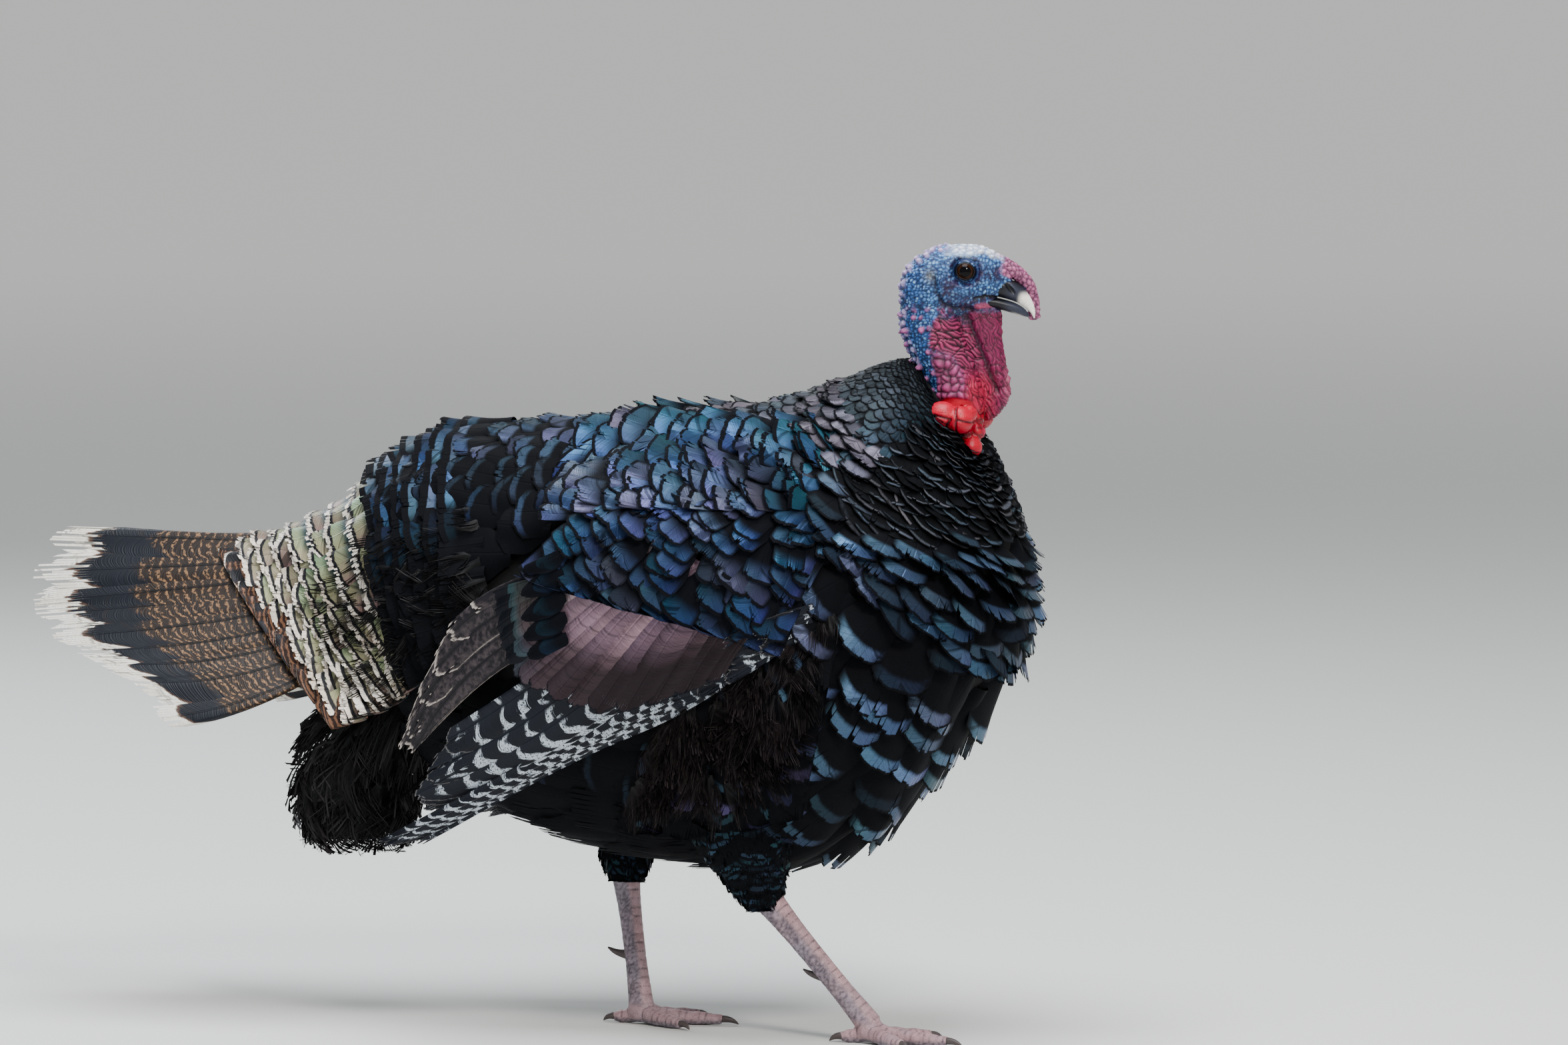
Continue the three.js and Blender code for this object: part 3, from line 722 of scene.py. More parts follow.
# %% Hood and collar
def hood():
    """Scale feathers of the neck, both sides."""
    rows = spaced(0.004, 0.2, 0.0066, 0.0135)
    places = staggered(rows, 42, 0.13)
    places, here = chosen_of(places, lambda here: front_share(here) < 0.5)
    length, width = measured(body_place, places, 2.4, 1.45)
    vanes = grow(body_place, places, length, width, PLAIN,
        closed=True, lift=0.0012, rise=0.001, blunt=0.24, square=2.6, fringe=0.03,
        pinch=0.02, gap=0.08, wave=0.0003, cup=-0.001, spin=0.12)
    height = smooth(0.48, 0.62, here[:, 2])
    near_head = smooth(0.035, 0.0, places["p"])
    tint = mixed([(0, 0.006, 0.024, 0.04), (0.4, 0.01, 0.024, 0.036),
                  (0.75, 0.024, 0.031, 0.038), (1, 0.02, 0.024, 0.03)],
                 0.6 * height + 0.4 * patchy(here, 0.016, 5.0))
    count = len(length)
    tint = tint * (rng.uniform(0.5, 1.4, count) * (1 - 0.75 * near_head))[:, None]
    bands = pack(np.full(count, 0.001), length * 0.7, np.ones(count))
    return vanes, places, tint, bands


def collar_fan():
    """Long narrow edges, close together, where the neck meets the breast."""
    places = staggered(np.arange(0.006, 0.24, 0.0082), 34, 0.18)
    places, _ = chosen_of(places, lambda here: (
        (front_share(here) > 0.45) & (here[:, 2] > 0.466)
        & ((here[:, 2] < 0.534) | (here[:, 0] < 0.408))))
    length, width = measured(body_place, places, 3.2, 1.6)
    vanes = grow(body_place, places, length, width, PLAIN,
        closed=True, lift=0.005, hump=1.8, rise=0.0005, blunt=0.22, square=2.2,
        fringe=0.03, pinch=0.02, gap=0.05, cup=-0.002, spin=0.2)
    count = len(length)
    tint = mixed([(0, 0.05, 0.075, 0.11), (1, 0.09, 0.085, 0.095)], rng.random(count))
    bands = pack(np.full(count, 0.0005), rng.uniform(0.002, 0.0045, count),
                 rng.uniform(-0.1, 1, count).clip(0, 1))
    return vanes, places, tint, bands


coat_piece("coat_hood", [hood(), collar_fan()], MANTLE)


# %% Back, sides and breast
def hidden_by_wing(here):
    """Where the wing covers the body, well inside its outline."""
    x, z = here[:, 0] / MM, here[:, 2] / MM
    middle, tall, _ = keyed(WING, x)
    return (x > -30) & (x < 282) & (np.abs(z - middle) < tall * 0.7)


def trunk_coat():
    """Contour feathers of back, sides, breast and belly."""
    rows = np.concatenate([spaced(0.15, 0.26, 0.013, 0.024), spaced(0.26, 0.8, 0.026, 0.034)])
    places = staggered(rows, 27, 0.16)
    places, here = chosen_of(places, lambda here: (
        ~hidden_by_wing(here) & ~((front_share(here) > 0.5) & (here[:, 2] > 0.474))))
    length, width = measured(body_place, places, 2.1, 1.35)
    length = np.clip(length, 0.026, 0.08)
    count = len(here)
    back = smooth(0.5, 0.55, here[:, 2])
    breast = smooth(0.29, 0.36, here[:, 0]) * (1 - back)
    under = smooth(0.24, 0.19, here[:, 2])
    length = length * (1 + 0.3 * breast + 0.4 * under)
    vanes = grow(body_place, places, length, width, FINE,
        closed=True, lift=0.005 + 0.009 * breast, hump=1.9, rise=0.001,
        blunt=0.2 - 0.04 * breast, square=2.4 + 0.6 * breast,
        cup=-0.003 - 0.003 * breast, fringe=0.05 + 0.1 * under, gap=0.08,
        pinch=0.03 + 0.3 * under, spin=0.16)
    steel = mixed([(0, 0.028, 0.06, 0.118), (0.4, 0.044, 0.074, 0.128),
                   (0.7, 0.036, 0.068, 0.11), (1, 0.056, 0.062, 0.112)], rng.random(count))
    bronze = mixed([(0, 0.105, 0.08, 0.1), (0.5, 0.12, 0.104, 0.13),
                    (1, 0.064, 0.096, 0.13)], patchy(here, 0.02, 1.0))
    share = (back * smooth(0.08, 0.22, here[:, 0]))[:, None]
    tint = (steel * (1 - share) + bronze * share) * rng.uniform(0.55, 1.4, (count, 1))
    tint = tint * (1 + 0.8 * breast)[:, None]
    rear = smooth(0.14, 0.06, here[:, 0]) * smooth(0.47, 0.44, here[:, 2])
    strength = 0.35 + 0.65 * breast + 0.6 * back - 0.4 * under
    unlit = (rng.random(count) < 0.25) * (0.8 * breast)
    strength = unit(strength - rear - unlit) * rng.uniform(0.6, 1, count)
    tall = 0.007 + 0.004 * breast + 0.009 * back
    bands = pack(0.0014 + 0.0004 * back, tall, strength)
    return vanes, places, tint, bands


coat_piece("coat_trunk", [trunk_coat()], STEEL)

# %% [markdown]
# ## The bare head
#
# A cock turkey's head and neck have no feathers but hundreds of wattles: small beads on the
# face, round pebbles up the nape, worm-like folds down the side of the neck, a wrinkled flap
# under the throat, and a fleshy snood over the bill. Sculpting them one by one would be slow.
# Instead plain forms are fused into one closed skin, and the beads and folds are raised from
# it by a cell pattern whose size and stretch change from zone to zone.

# %% Places on the head
HEAD_AT = np.array([405.6, 4.0, 685.4]) * MM
HEAD_YAW = np.radians(15)
TURN = np.array([[np.cos(HEAD_YAW), -np.sin(HEAD_YAW), 0],
                 [np.sin(HEAD_YAW), np.cos(HEAD_YAW), 0], [0, 0, 1]])
GLOBE, GLOBE_OUT = 10, 11  # radius of an eyeball, and how far left or right its middle lies


def from_head(local):
    """Millimetres forward, left and up of the middle between the eyes, to the bird's frame."""
    return np.asarray(local, float) * MM @ TURN.T + HEAD_AT


def to_head(points):
    """The way back: forward, left and up in millimetres."""
    return (points - HEAD_AT) @ TURN / MM


def ring_points(centre, along, across, sides, power=1.0):
    """Rings round a path: centre + along * cos + across * sin, squared off by the power."""
    angle = 2 * np.pi * np.arange(sides) / sides
    c, s = (np.sign(f) * np.abs(f) ** power for f in (np.cos(angle), np.sin(angle)))
    return (centre[:, None] + along[:, None] * c[None, :, None]
            + across[:, None] * s[None, :, None])


def loft(rings):
    """A closed shape through rings of points: triangles between them and a fan at each end."""
    count, sides = rings.shape[:2]
    r, s = np.meshgrid(np.arange(count - 1), np.arange(sides), indexing="ij")
    a, b = (r * sides + s).ravel(), (r * sides + (s + 1) % sides).ravel()
    c, d = a + sides, b + sides
    first, last = count * sides, count * sides + 1
    k = np.arange(sides)
    k2 = (k + 1) % sides
    end = (count - 1) * sides
    faces = np.concatenate([
        pack(a, b, d), pack(a, d, c),
        pack(np.full(sides, first), k2, k),
        pack(np.full(sides, last), end + k, end + k2),
    ])
    points = np.concatenate([rings.reshape(-1, 3), rings[:1].mean(1), rings[-1:].mean(1)])
    return points, outward(points, faces)


def outward(points, faces):
    """Turns all faces round if the shape they enclose has a negative volume."""
    a, b, c = points[faces[:, 0]], points[faces[:, 1]], points[faces[:, 2]]
    volume = np.sum(a * np.cross(b, c))
    return faces[:, ::-1].copy() if volume < 0 else faces


def tube(rows, sides, steps, side=(0.0, 1.0, 0.0)):
    """A tube along a path: rows of x, y, z, half depth, half width; rings square to the path."""
    t = np.linspace(0, 1, steps)
    values = spline(rows, t)
    centre = values[:, :3]
    forward = np.gradient(centre, axis=0)
    forward /= np.linalg.norm(forward, axis=1, keepdims=True)
    up = np.cross(forward, side)
    up /= np.linalg.norm(up, axis=1, keepdims=True)
    across = np.cross(up, forward)
    return loft(ring_points(centre, up * values[:, 3:4], across * values[:, 4:5], sides))


def ball(centre, radii, sides=24):
    """A ball with three half axes, as rings from pole to pole."""
    lat = np.linspace(0.08, np.pi - 0.08, sides // 2)
    centres = pack(0, 0, np.cos(lat)) * radii + centre
    around = np.sin(lat)
    return loft(ring_points(centres, pack(around * radii[0], 0, 0), pack(0, around * radii[1], 0),
                            sides))


def together(*shapes):
    """Several shapes as one set of points and faces."""
    start, points, faces = 0, [], []
    for p, f in shapes:
        points.append(p)
        faces.append(f + start)
        start += len(p)
    return np.concatenate(points), np.concatenate(faces)


def fused(shapes, voxel, rounds):
    """One closed skin round overlapping shapes: Blender's voxel remesh, then smoothing."""
    points, faces = together(*shapes)
    rough = mesh_object("rough_form", points, faces, STEEL, False)
    mesher = rough.modifiers.new("skin", "REMESH")
    mesher.mode, mesher.voxel_size = "VOXEL", voxel
    soften = rough.modifiers.new("soften", "SMOOTH")
    soften.factor, soften.iterations = 0.5, rounds
    seen = rough.evaluated_get(bpy.context.evaluated_depsgraph_get()).to_mesh()
    co = np.empty(len(seen.vertices) * 3, np.float32)
    seen.vertices.foreach_get("co", co)
    corner = np.empty(len(seen.loops), np.int32)
    seen.loops.foreach_get("vertex_index", corner)
    quads = corner.reshape(-1, 4)
    bpy.data.objects.remove(rough)
    return co.reshape(-1, 3).astype(float), quads


def normals_of(points, quads):
    """Outward direction at each point, the sum of the faces round it."""
    a, b, c, d = (points[quads[:, k]] for k in range(4))
    face = np.cross(c - a, d - b)
    total = np.zeros_like(points)
    for k in range(4):
        np.add.at(total, quads[:, k], face)
    return total / (np.linalg.norm(total, axis=1, keepdims=True) + 1e-12)


# %% Plain forms of head and neck
# forward, top, bottom, half width, from the middle between the eyes, in millimetres
HEAD = [
    [-57, -14, -36, 6], [-53, -1, -44, 14], [-43, 10.5, -47, 19], [-26, 19, -45, 21.2],
    [-6, 23.2, -39, 20.6], [12, 21, -34, 18], [24, 15.5, -28, 13.2], [33, 8.5, -20, 9],
    [40, 2, -10, 5],
]
# forward, up, half depth, half width
NECK = [
    [-30, -20, 24, 15], [-33, -42, 25, 19.5], [-26, -65, 24.5, 21.5], [-15, -88, 24, 23],
    [-6, -112, 23, 24.5], [-7, -134, 21, 25], [-14, -165, 20, 24],
]
# up, front edge, back edge, half thickness
DEWLAP = [
    [-27, 24, -10, 4.5], [-36, 31, -14, 6.5], [-54, 31.5, -14, 6.5], [-74, 34, -6, 6],
    [-94, 37, 2, 6.5], [-112, 38.2, 12, 6.5], [-124, 31, 14, 5.5], [-132, 22, 14, 3],
]
# forward, left, up, radius
SNOOD = [
    [26, 0, 9, 5], [34, 0.4, 5, 6], [41, 1, 0.8, 5.8], [48, 2.6, -5, 5.8], [54, 5.2, -12.5, 5.6],
    [58, 7.2, -22, 5], [60, 7.4, -32, 4.4], [60.2, 6.8, -39, 4.2], [59.9, 6.5, -43, 3.4],
]

# bird's x, y, z and half axes of the caruncles; those at the side are mirrored
SIDE_BULBS = [((395, 34, 558), (15, 13, 13.5)), ((410, 31, 555), (13, 13, 12.5)),
              ((417, 24, 560), (7, 9, 8))]
FRONT_BULBS = [((417, -16, 530), (9.6, 10.5, 9.8)), ((412, -15, 541), (6.5, 8, 6)),
               ((420, -9, 543), (6, 8, 7.5)), ((413, -3, 553), (10, 13, 9))]


def head_forms():
    """Head, neck, throat flap, snood and the caruncles, still as separate closed shapes."""
    f, top, low, wide = spline(HEAD, np.linspace(0, 1, 26)).T
    head = ring_points(from_head(pack(f, 0, (top + low) / 2)),
                       (pack(0, wide, 0) * MM) @ TURN.T,
                       pack(0, 0, (top - low) / 2) * MM, 40, 0.93)
    neck = np.array([[*from_head([n[0], 0, n[1]]), n[2] * MM, n[3] * MM] for n in NECK])
    up, front, back, thick = spline(DEWLAP, np.linspace(0, 1, 24)).T
    flap = ring_points(from_head(pack((front + back) / 2, 0, up)),
                       (pack((front - back) / 2, 0, 0) * MM) @ TURN.T,
                       (pack(0, thick, 0) * MM) @ TURN.T, 36, 0.9)
    snood = np.array([[*from_head(n[:3]), n[3] * MM, n[3] * MM] for n in SNOOD])
    side = TURN @ [0, 1, 0]
    forms = [loft(head), tube(neck, 40, 30), loft(flap), tube(snood, 20, 40, side)]
    bulbs = [((x, 1 + sign * y, z), radii) for sign in (-1, 1) for (x, y, z), radii in SIDE_BULBS]
    return forms + [ball(np.array(centre) * MM, np.array(radii) * MM)
                    for centre, radii in bulbs + FRONT_BULBS]


head_points, head_quads = fused(head_forms(), 0.00095, 6)
print("head skin points:", len(head_points))


# %% [markdown]
# ## Beads, pebbles and folds
#
# A cell pattern answers, for each point, how far the nearest and the second nearest cell
# centre are. Near a centre the skin stands up, and halfway between two centres it dips. If
# the space is stretched first, round beads become long folds. Zones are drawn in side view:
# forward and up from the eye.

# %% Cell pattern and zones
def hashed(cell, seed):
    """Three steady random numbers for each cell of a grid."""
    mixed_up = cell @ np.array([[127.1, 269.5, 419.2], [311.7, 183.3, 371.9], [74.7, 246.1, 168.7]])
    return np.modf(np.abs(np.sin(mixed_up + seed) * 43758.5453))[0]


def cells(points, size, seed):
    """Distances to the nearest and next cell centre, in cells, and the nearest one's number."""
    x = points / size
    base = np.floor(x)
    first, second = np.full(len(x), 9.0), np.full(len(x), 9.0)
    number = np.zeros(len(x))
    for offset in np.ndindex(3, 3, 3):
        cell = base + np.array(offset) - 1
        lucky = hashed(cell, seed)
        gap = np.linalg.norm(cell + 0.15 + 0.7 * lucky - x, axis=1)
        nearer = gap < first
        second = np.where(nearer, first, np.minimum(second, gap))
        number = np.where(nearer, lucky[:, 0], number)
        first = np.minimum(first, gap)
    return first, second, number


def waves(points, size, seed):
    """Soft noise from -1 to 1: value noise on a grid, blended smoothly between its corners."""
    x = points / size
    base = np.floor(x)
    f = x - base
    f = f * f * (3 - 2 * f)
    total = 0
    for corner in np.ndindex(2, 2, 2):
        c = np.array(corner)
        weight = np.prod(np.where(c == 1, f, 1 - f), axis=1)
        total = total + weight * hashed(base + c, seed)[:, 0]
    return total * 2 - 1


# %% Folds and drawn lines
def crease(f, u, line, width):
    """1 on a drawn line of (forward, up) points, falling to 0 at the given distance."""
    line = np.asarray(line, float)
    best = np.full(len(f), 1e9)
    for (x1, y1), (x2, y2) in zip(line[:-1], line[1:]):
        dx, dy = x2 - x1, y2 - y1
        k = unit(((f - x1) * dx + (u - y1) * dy) / (dx * dx + dy * dy))
        best = np.minimum(best, np.hypot(f - x1 - k * dx, u - y1 - k * dy))
    return unit(1 - best / width)


def domes(points, size, seed):
    """Round lobes, sqrt(1 - d * d), where d is 0 in the middle of a cell and 1 at its border."""
    first, second, _ = cells(points, size, seed)
    return np.sqrt(unit(1 - (2 * first / (first + second)) ** 2))


def ribs(along, l, across, gap, patch, seed):
    """Folds side by side, a gap apart, that break off and start anew from patch to patch."""
    first, second, number = cells(pack(along, l, across), patch, seed)
    soft = waves(pack(along, l, across), patch * 0.4, seed + 1)
    phase = across / gap + 0.8 * soft + number + 0.35 * np.sin(along / 3.0 + 6 * number)
    ridge = np.abs(np.sin(np.pi * phase))
    return ridge**0.7 * (0.25 + 0.75 * smooth(0.0, 0.1, second - first))


# lines drawn in side view: forward and up from the eye, and for the bulbs the bird's x and z
JAW_FOLD = [(-27, -6), (-26, -18), (-21, -28), (-10, -33), (4, -33.5)]
THROAT_GROOVE = [(1, -40), (7, -56), (13, -70), (20, -88), (28, -106)]
MOUTH = [(8, -24.2), (18, -22.2), (30, -24)]
BULB_LINES = [
    [(383.6, 560), (395, 559), (405.7, 556)], [(405.7, 556), (402, 550), (399, 543)],
    [(409, 566), (411, 556), (409, 544)], [(411, 556), (422, 553)],
]


# %% Zones of the head
def head_zones(f, l, u, bird, blot):
    """How much each kind of skin holds at a point: weights between 0 and 1."""
    axis = np.interp(u, [-134, -112, -88, -65, -42, -20], [-5, -6, -15, -26, -33, -30])
    back = f - axis
    border = np.interp(u, [-110, -87, -64, -48, -38, -26], [-17, -11, -5, 1, 9, 9]) + 3 * blot
    pink = smooth(-2.5, 2.5, back - border) * smooth(-24, -35, u)
    snood = smooth(-2, 5, f - 31 - 0.25 * (u - 6)) * smooth(-9, -6.5, u + (f - 40) * 0.55)
    snood = np.maximum(snood, smooth(52, 54, f) * (u < 2) * (u > -60))
    groove = np.interp(u, [-106, -88, -70, -56, -40], [28, 20, 13, 7, 1])
    flap = smooth(-2, 3, f - groove) * smooth(-32, -39, u)
    lobes = smooth(-66, -80, u + 5 * blot) * (1 - smooth(6, 14, back)) * (1 - flap) * pink
    red = smooth(-72, -100, u) * smooth(-4, 6, f)
    x, y, z = bird.T / MM
    side_bulb = smooth(1.12, 0.98, np.hypot((x - 402) / 22, (z - 557) / 16)
                       ) * smooth(12, 18, np.abs(y - 1))
    globe = smooth(1.2, 1.05, np.hypot((x - 417) / 9.5, (z - 530) / 10))
    column = smooth(10, 8, np.abs(x - 416)) * smooth(566, 558, z) * (z > 535)
    front_bulb = np.maximum(globe, column) * smooth(24, 18, np.abs(y + 6)) * (1 - side_bulb)
    crown = smooth(11, 15, u + 4 * blot + 0.22 * np.clip(f - 15, 0, 40)) * smooth(-22, -8, f)
    crown = crown * (1 - snood)
    nape = np.maximum(smooth(-17, -21, back) * smooth(2, -12, u),
                      smooth(17, 21, u - 0.62 * (f + 14)) * smooth(-12, -18, f))
    nape = nape * smooth(15, 9, np.abs(l))
    return SimpleNamespace(pink=pink, snood=snood, flap=flap, lobes=lobes, red=red,
                           side=side_bulb, front=front_bulb, crown=crown, nape=nape)


def turned(f, u, degrees):
    """Side-view places measured along and across a slope."""
    a = np.radians(degrees)
    return f * np.cos(a) + u * np.sin(a), -f * np.sin(a) + u * np.cos(a)


# %% Relief of the head
def head_patterns(f, l, u):
    """Every kind of relief over the whole head, each from 0 in its grooves to 1."""
    local = pack(f, l, u)
    wobble = np.stack([waves(local, 7, s) for s in (1.0, 2.0, 3.0)], -1)
    bent = local + 1.3 * wobble
    crumpled = local + 1.6 * wobble + 0.9 * np.stack(
        [waves(local, 3.5, s) for s in (81.0, 82.0, 83.0)], -1)
    size = np.array([3.4, 3.0, 2.8])
    first, _, pick = cells(bent, 6.2, 8.0)
    k = SimpleNamespace(local=local, bead=domes(crumpled, size, 5.0),
                        own=cells(crumpled, size, 5.0)[2], packed=domes(bent, 6.2, 9.0),
                        pebble=np.sqrt(unit(1 - (first / 0.5) ** 2)), pick=pick,
                        lobe=domes(local + 2.0 * wobble, 6.6, 14.0),
                        ringed=domes(bent, 3.6, 19.0))
    along, across = turned(f + 1.5 * wobble[:, 0], u + 1.5 * wobble[:, 1], -22)
    k.fold = ribs(along, l, across, 3.7, np.array([19.0, 16.0, 13.0]), 11.0)
    along, across = turned(f + 1.2 * wobble[:, 1], u, -66)
    k.wrinkle = ribs(along, l, across, 2.9, np.array([22.0, 12.0, 8.0]), 17.0)
    return k


def head_relief(points):
    """Height of the relief in millimetres, its marks, and the zones it came from."""
    f, l, u = to_head(points).T
    k = head_patterns(f, l, u)
    blot = waves(k.local, 8.0, 51.0)
    z = head_zones(f, l, u, points, blot)
    x, _, high = points.T / MM
    k.worm = (z.pink * (1 - z.lobes) * (1 - z.flap)
                 * smooth(-36, -52, u + 7 * blot + 0.4 * f))
    k.steep = unit(z.red * (1 - z.lobes) + z.flap)
    k.bulbs = np.maximum(z.side, z.front)
    k.plain = unit(1 - k.worm - k.steep - z.lobes - z.snood - z.crown)
    k.scattered = (k.pick > 0.7) * k.plain * smooth(-26, -44, u)
    k.groove = crease(f, u, THROAT_GROOVE, 4.5)
    k.jaw = crease(f, u, JAW_FOLD, 4.0)
    k.mouth = crease(f, u, MOUTH, 2.2) * (np.abs(l) < 20)
    k.lobule = unit(1 - ((f - 16) / 10) ** 2 - ((u + 30.5) / 3.6) ** 2) ** 0.5
    k.lines = np.maximum.reduce([crease(x, high, line, 1.6) for line in BULB_LINES])
    height = k.plain * 1.15 * k.bead
    height += k.worm * (1 - k.steep) * 2.5 * k.fold
    height += k.steep * (1 - z.lobes) * (0.9 + 0.9 * z.red) * k.wrinkle
    height += z.lobes * (1 - k.bulbs) * 3.2 * k.lobe
    height += z.crown * (0.5 + 2.1 * smooth(-2, 16, f)) * k.packed
    height += z.nape * 3.0 * k.pebble + k.scattered * 2.3 * k.pebble
    height += z.snood * 1.5 * k.ringed
    height += -3.2 * k.groove ** 0.8 - 2.2 * k.jaw - 2.4 * k.mouth + 2.4 * k.lobule
    height += 1.2 * crease(f - 3, u + 3, JAW_FOLD, 5.0) * (1 - k.jaw)
    upper = z.front * smooth(536, 541, high)
    height = height * (1 - k.bulbs) - k.bulbs * 1.7 * k.lines * z.side
    height += upper * 1.6 * k.lobe
    height += smooth(29, 36, f) * z.flap * 1.6 * waves(k.local, 3.4, 23.0)
    return height, k, z


# %% Colours of the head
def head_colours(points, k, z):
    """The colour of every point: groove and crest tones of each zone, laid on in turn. The darker
    groove tones are painted shade and the paler crest tones painted highlight.
    """
    f, _, u = to_head(points).T
    local, bead, wrinkle = k.local, k.bead, k.wrinkle
    face = smooth(-46, -30, u) * smooth(-40, -24, f)
    # painted highlight: pale blue on the tops of some face beads
    bead_highlight = unit((bead - 0.6) * 2.2) * (k.own ** 1.5 * 0.9 + 0.05 * face)
    specks = smooth(-0.15, 0.25, waves(local, 2.4, 61.0))
    ring = np.exp(-((np.hypot(f, u) - 12.0) / 4.0) ** 2)
    lore = np.exp(-(((f - 25) / 11) ** 2 + ((u + 3) / 8) ** 2)) * 1.1
    cheek = np.exp(-(((f + 15) / 7.0) ** 2 + ((u + 14) / 14) ** 2)) * 1.3
    low_face = smooth(-15, -27, u) * smooth(-26, -14, f) * (1 - z.flap) * 1.3
    dark = unit(ring + lore + cheek + low_face) * (0.5 + 0.5 * specks)
    ear = np.exp(-(((f + 31) / 5) ** 2 + ((u + 4) / 6) ** 2))
    nearer = z.lobes * smooth(-4, 8, f) * 0.8
    flap = z.flap + z.red * (1 - z.lobes)
    hot = z.red * smooth(-76, -108, u) * smooth(34, 14, f)
    rim = smooth(32, 36.5, f) * z.flap * 0.55
    brow = z.crown * smooth(20, 14, u) * smooth(16, -2, f)
    pebble_on = unit(k.pebble * 2.2)
    blush = z.crown * smooth(20, 33, f) * smooth(0.0, 0.5, waves(local, 6.0, 71.0))
    # crest: 0 in the creases between the caruncles, where their groove tone is painted shade
    crest = 1 - unit(k.lines * 1.4)
    upper = np.where(points[:, 2] > 0.538, k.lobe ** 1.5, 1)
    # amount, tone in the grooves, tone on the crests, height, how much the tone varies; groove
    # tones are painted shade and crest tones painted highlight, over each zone's own colour
    layers = [
        (np.ones(len(f)), (0.001, 0.004, 0.028), (0.03, 0.15, 0.48), bead**2.2, 0.1),
        (face, (0.002, 0.007, 0.06), (0.085, 0.32, 0.74), bead**2.2, 0.2),
        (bead_highlight, (0.25, 0.52, 0.85), (0.42, 0.68, 0.92), bead, 0.1),
        (dark * 0.95, (0.003, 0.002, 0.012), (0.035, 0.016, 0.065), bead, 0.25),
        (ear * 0.9, (0.03, 0.035, 0.05), (0.16, 0.16, 0.15), bead, 0.25),
        (k.worm, (0.012, 0.0006, 0.006), (0.33, 0.03, 0.11), k.fold ** 2, 0.25),
        (z.lobes, (0.01, 0.0006, 0.005), (0.4, 0.06, 0.19), k.lobe ** 1.5, 0.25),
        (nearer, (0.02, 0.0006, 0.004), (0.42, 0.01, 0.045), k.lobe ** 1.5, 0.25),
        (flap, (0.016, 0.0006, 0.006), (0.19, 0.01, 0.062), wrinkle, 0.25),
        (hot * 0.95, (0.045, 0.0008, 0.006), (0.44, 0.01, 0.05), wrinkle, 0.25),
        (rim, (0.12, 0.008, 0.035), (0.42, 0.1, 0.18), wrinkle, 0.25),
        (z.crown, (0.06, 0.12, 0.32), (0.9, 0.94, 0.97), k.packed ** 1.1, 0.06),
        (brow * 0.7, (0.05, 0.14, 0.36), (0.42, 0.68, 0.94), k.packed, 0.1),
        (z.nape * pebble_on, (0.1, 0.07, 0.22), (0.56, 0.42, 0.66), k.pebble ** 2, 0.15),
        (k.scattered * pebble_on, (0.05, 0.01, 0.06), (0.42, 0.12, 0.3), k.pebble ** 2,
         0.25),
        (blush * 0.7, (0.2, 0.04, 0.14), (0.66, 0.34, 0.5), k.packed, 0.25),
        (z.snood, (0.035, 0.004, 0.026), (0.56, 0.17, 0.33), k.ringed ** 1.5, 0.25),
        (k.lobule * 1.5, (0.06, 0.006, 0.03), (0.34, 0.06, 0.13), k.lobule, 0.25),
        # painted shade: near-black in the mouth line, the jaw fold and the throat groove
        (k.mouth * 1.3, (0.003, 0.001, 0.003), (0.003, 0.001, 0.003), bead, 0.25),
        (k.jaw ** 1.2 * 0.9, (0.003, 0.001, 0.006), (0.01, 0.004, 0.02), bead, 0.25),
        (k.groove ** 1.4 * 0.9, (0.006, 0.0004, 0.003), (0.014, 0.0008, 0.006), bead, 0.25),
        (z.side, (0.06, 0.0004, 0.004), (0.44, 0.0004, 0.02), crest, 0.12),
        (z.front, (0.06, 0.0004, 0.004), (0.44, 0.0004, 0.018), upper, 0.12),
    ]
    colour, vary = np.zeros((len(f), 3)), waves(local, 5.0, 31.0)[:, None]
    for amount, low, high, height, spread in layers:
        low, high = np.array(low), np.array(high)
        tone = low + (high - low) * unit(height)[:, None]
        tone = tone * (1 + spread * vary)
        colour = colour + (tone - colour) * unit(amount)[:, None]
    mottle = 0.92 + 0.12 * waves(local, 2.0, 41.0)[:, None]
    shine = 0.46 - 0.12 * k.bulbs - 0.06 * z.flap
    return np.clip(colour * mottle, 0.0005, 1), shine


# %% Eye sockets
def socket(points):
    """Lets the skin sink to the eyeball: beyond the lid untouched, inside it out of sight."""
    f, l, u = to_head(points).T
    r = np.hypot(f, u)
    side = np.sign(l)
    globe = GLOBE_OUT + np.sqrt(np.clip(GLOBE**2 - r**2, 0, None))
    near = (r < 15) & (np.abs(l) > 8)
    lid = np.minimum(np.abs(l), globe + 1.2)
    target = np.where(r < 8.0, globe - 3.0, lid)
    share = smooth(15, 9, r)
    moved = np.abs(l) + (target - np.abs(l)) * np.where(r < 8.0, 1, share)
    l = np.where(near, side * moved, l)
    return from_head(pack(f, l, u))


head_normals = normals_of(head_points, head_quads)
relief, head_marks, zones = head_relief(head_points)
head_tint, head_shine = head_colours(head_points, head_marks, zones)
calm = smooth(9, 14, np.hypot(*to_head(head_points).T[[0, 2]]))
head_points = head_points + head_normals * (relief * (0.25 + 0.75 * calm) * MM)[:, None]
head_points = socket(head_points)
print("relief from", relief.min().round(2), "to", relief.max().round(2), "mm")


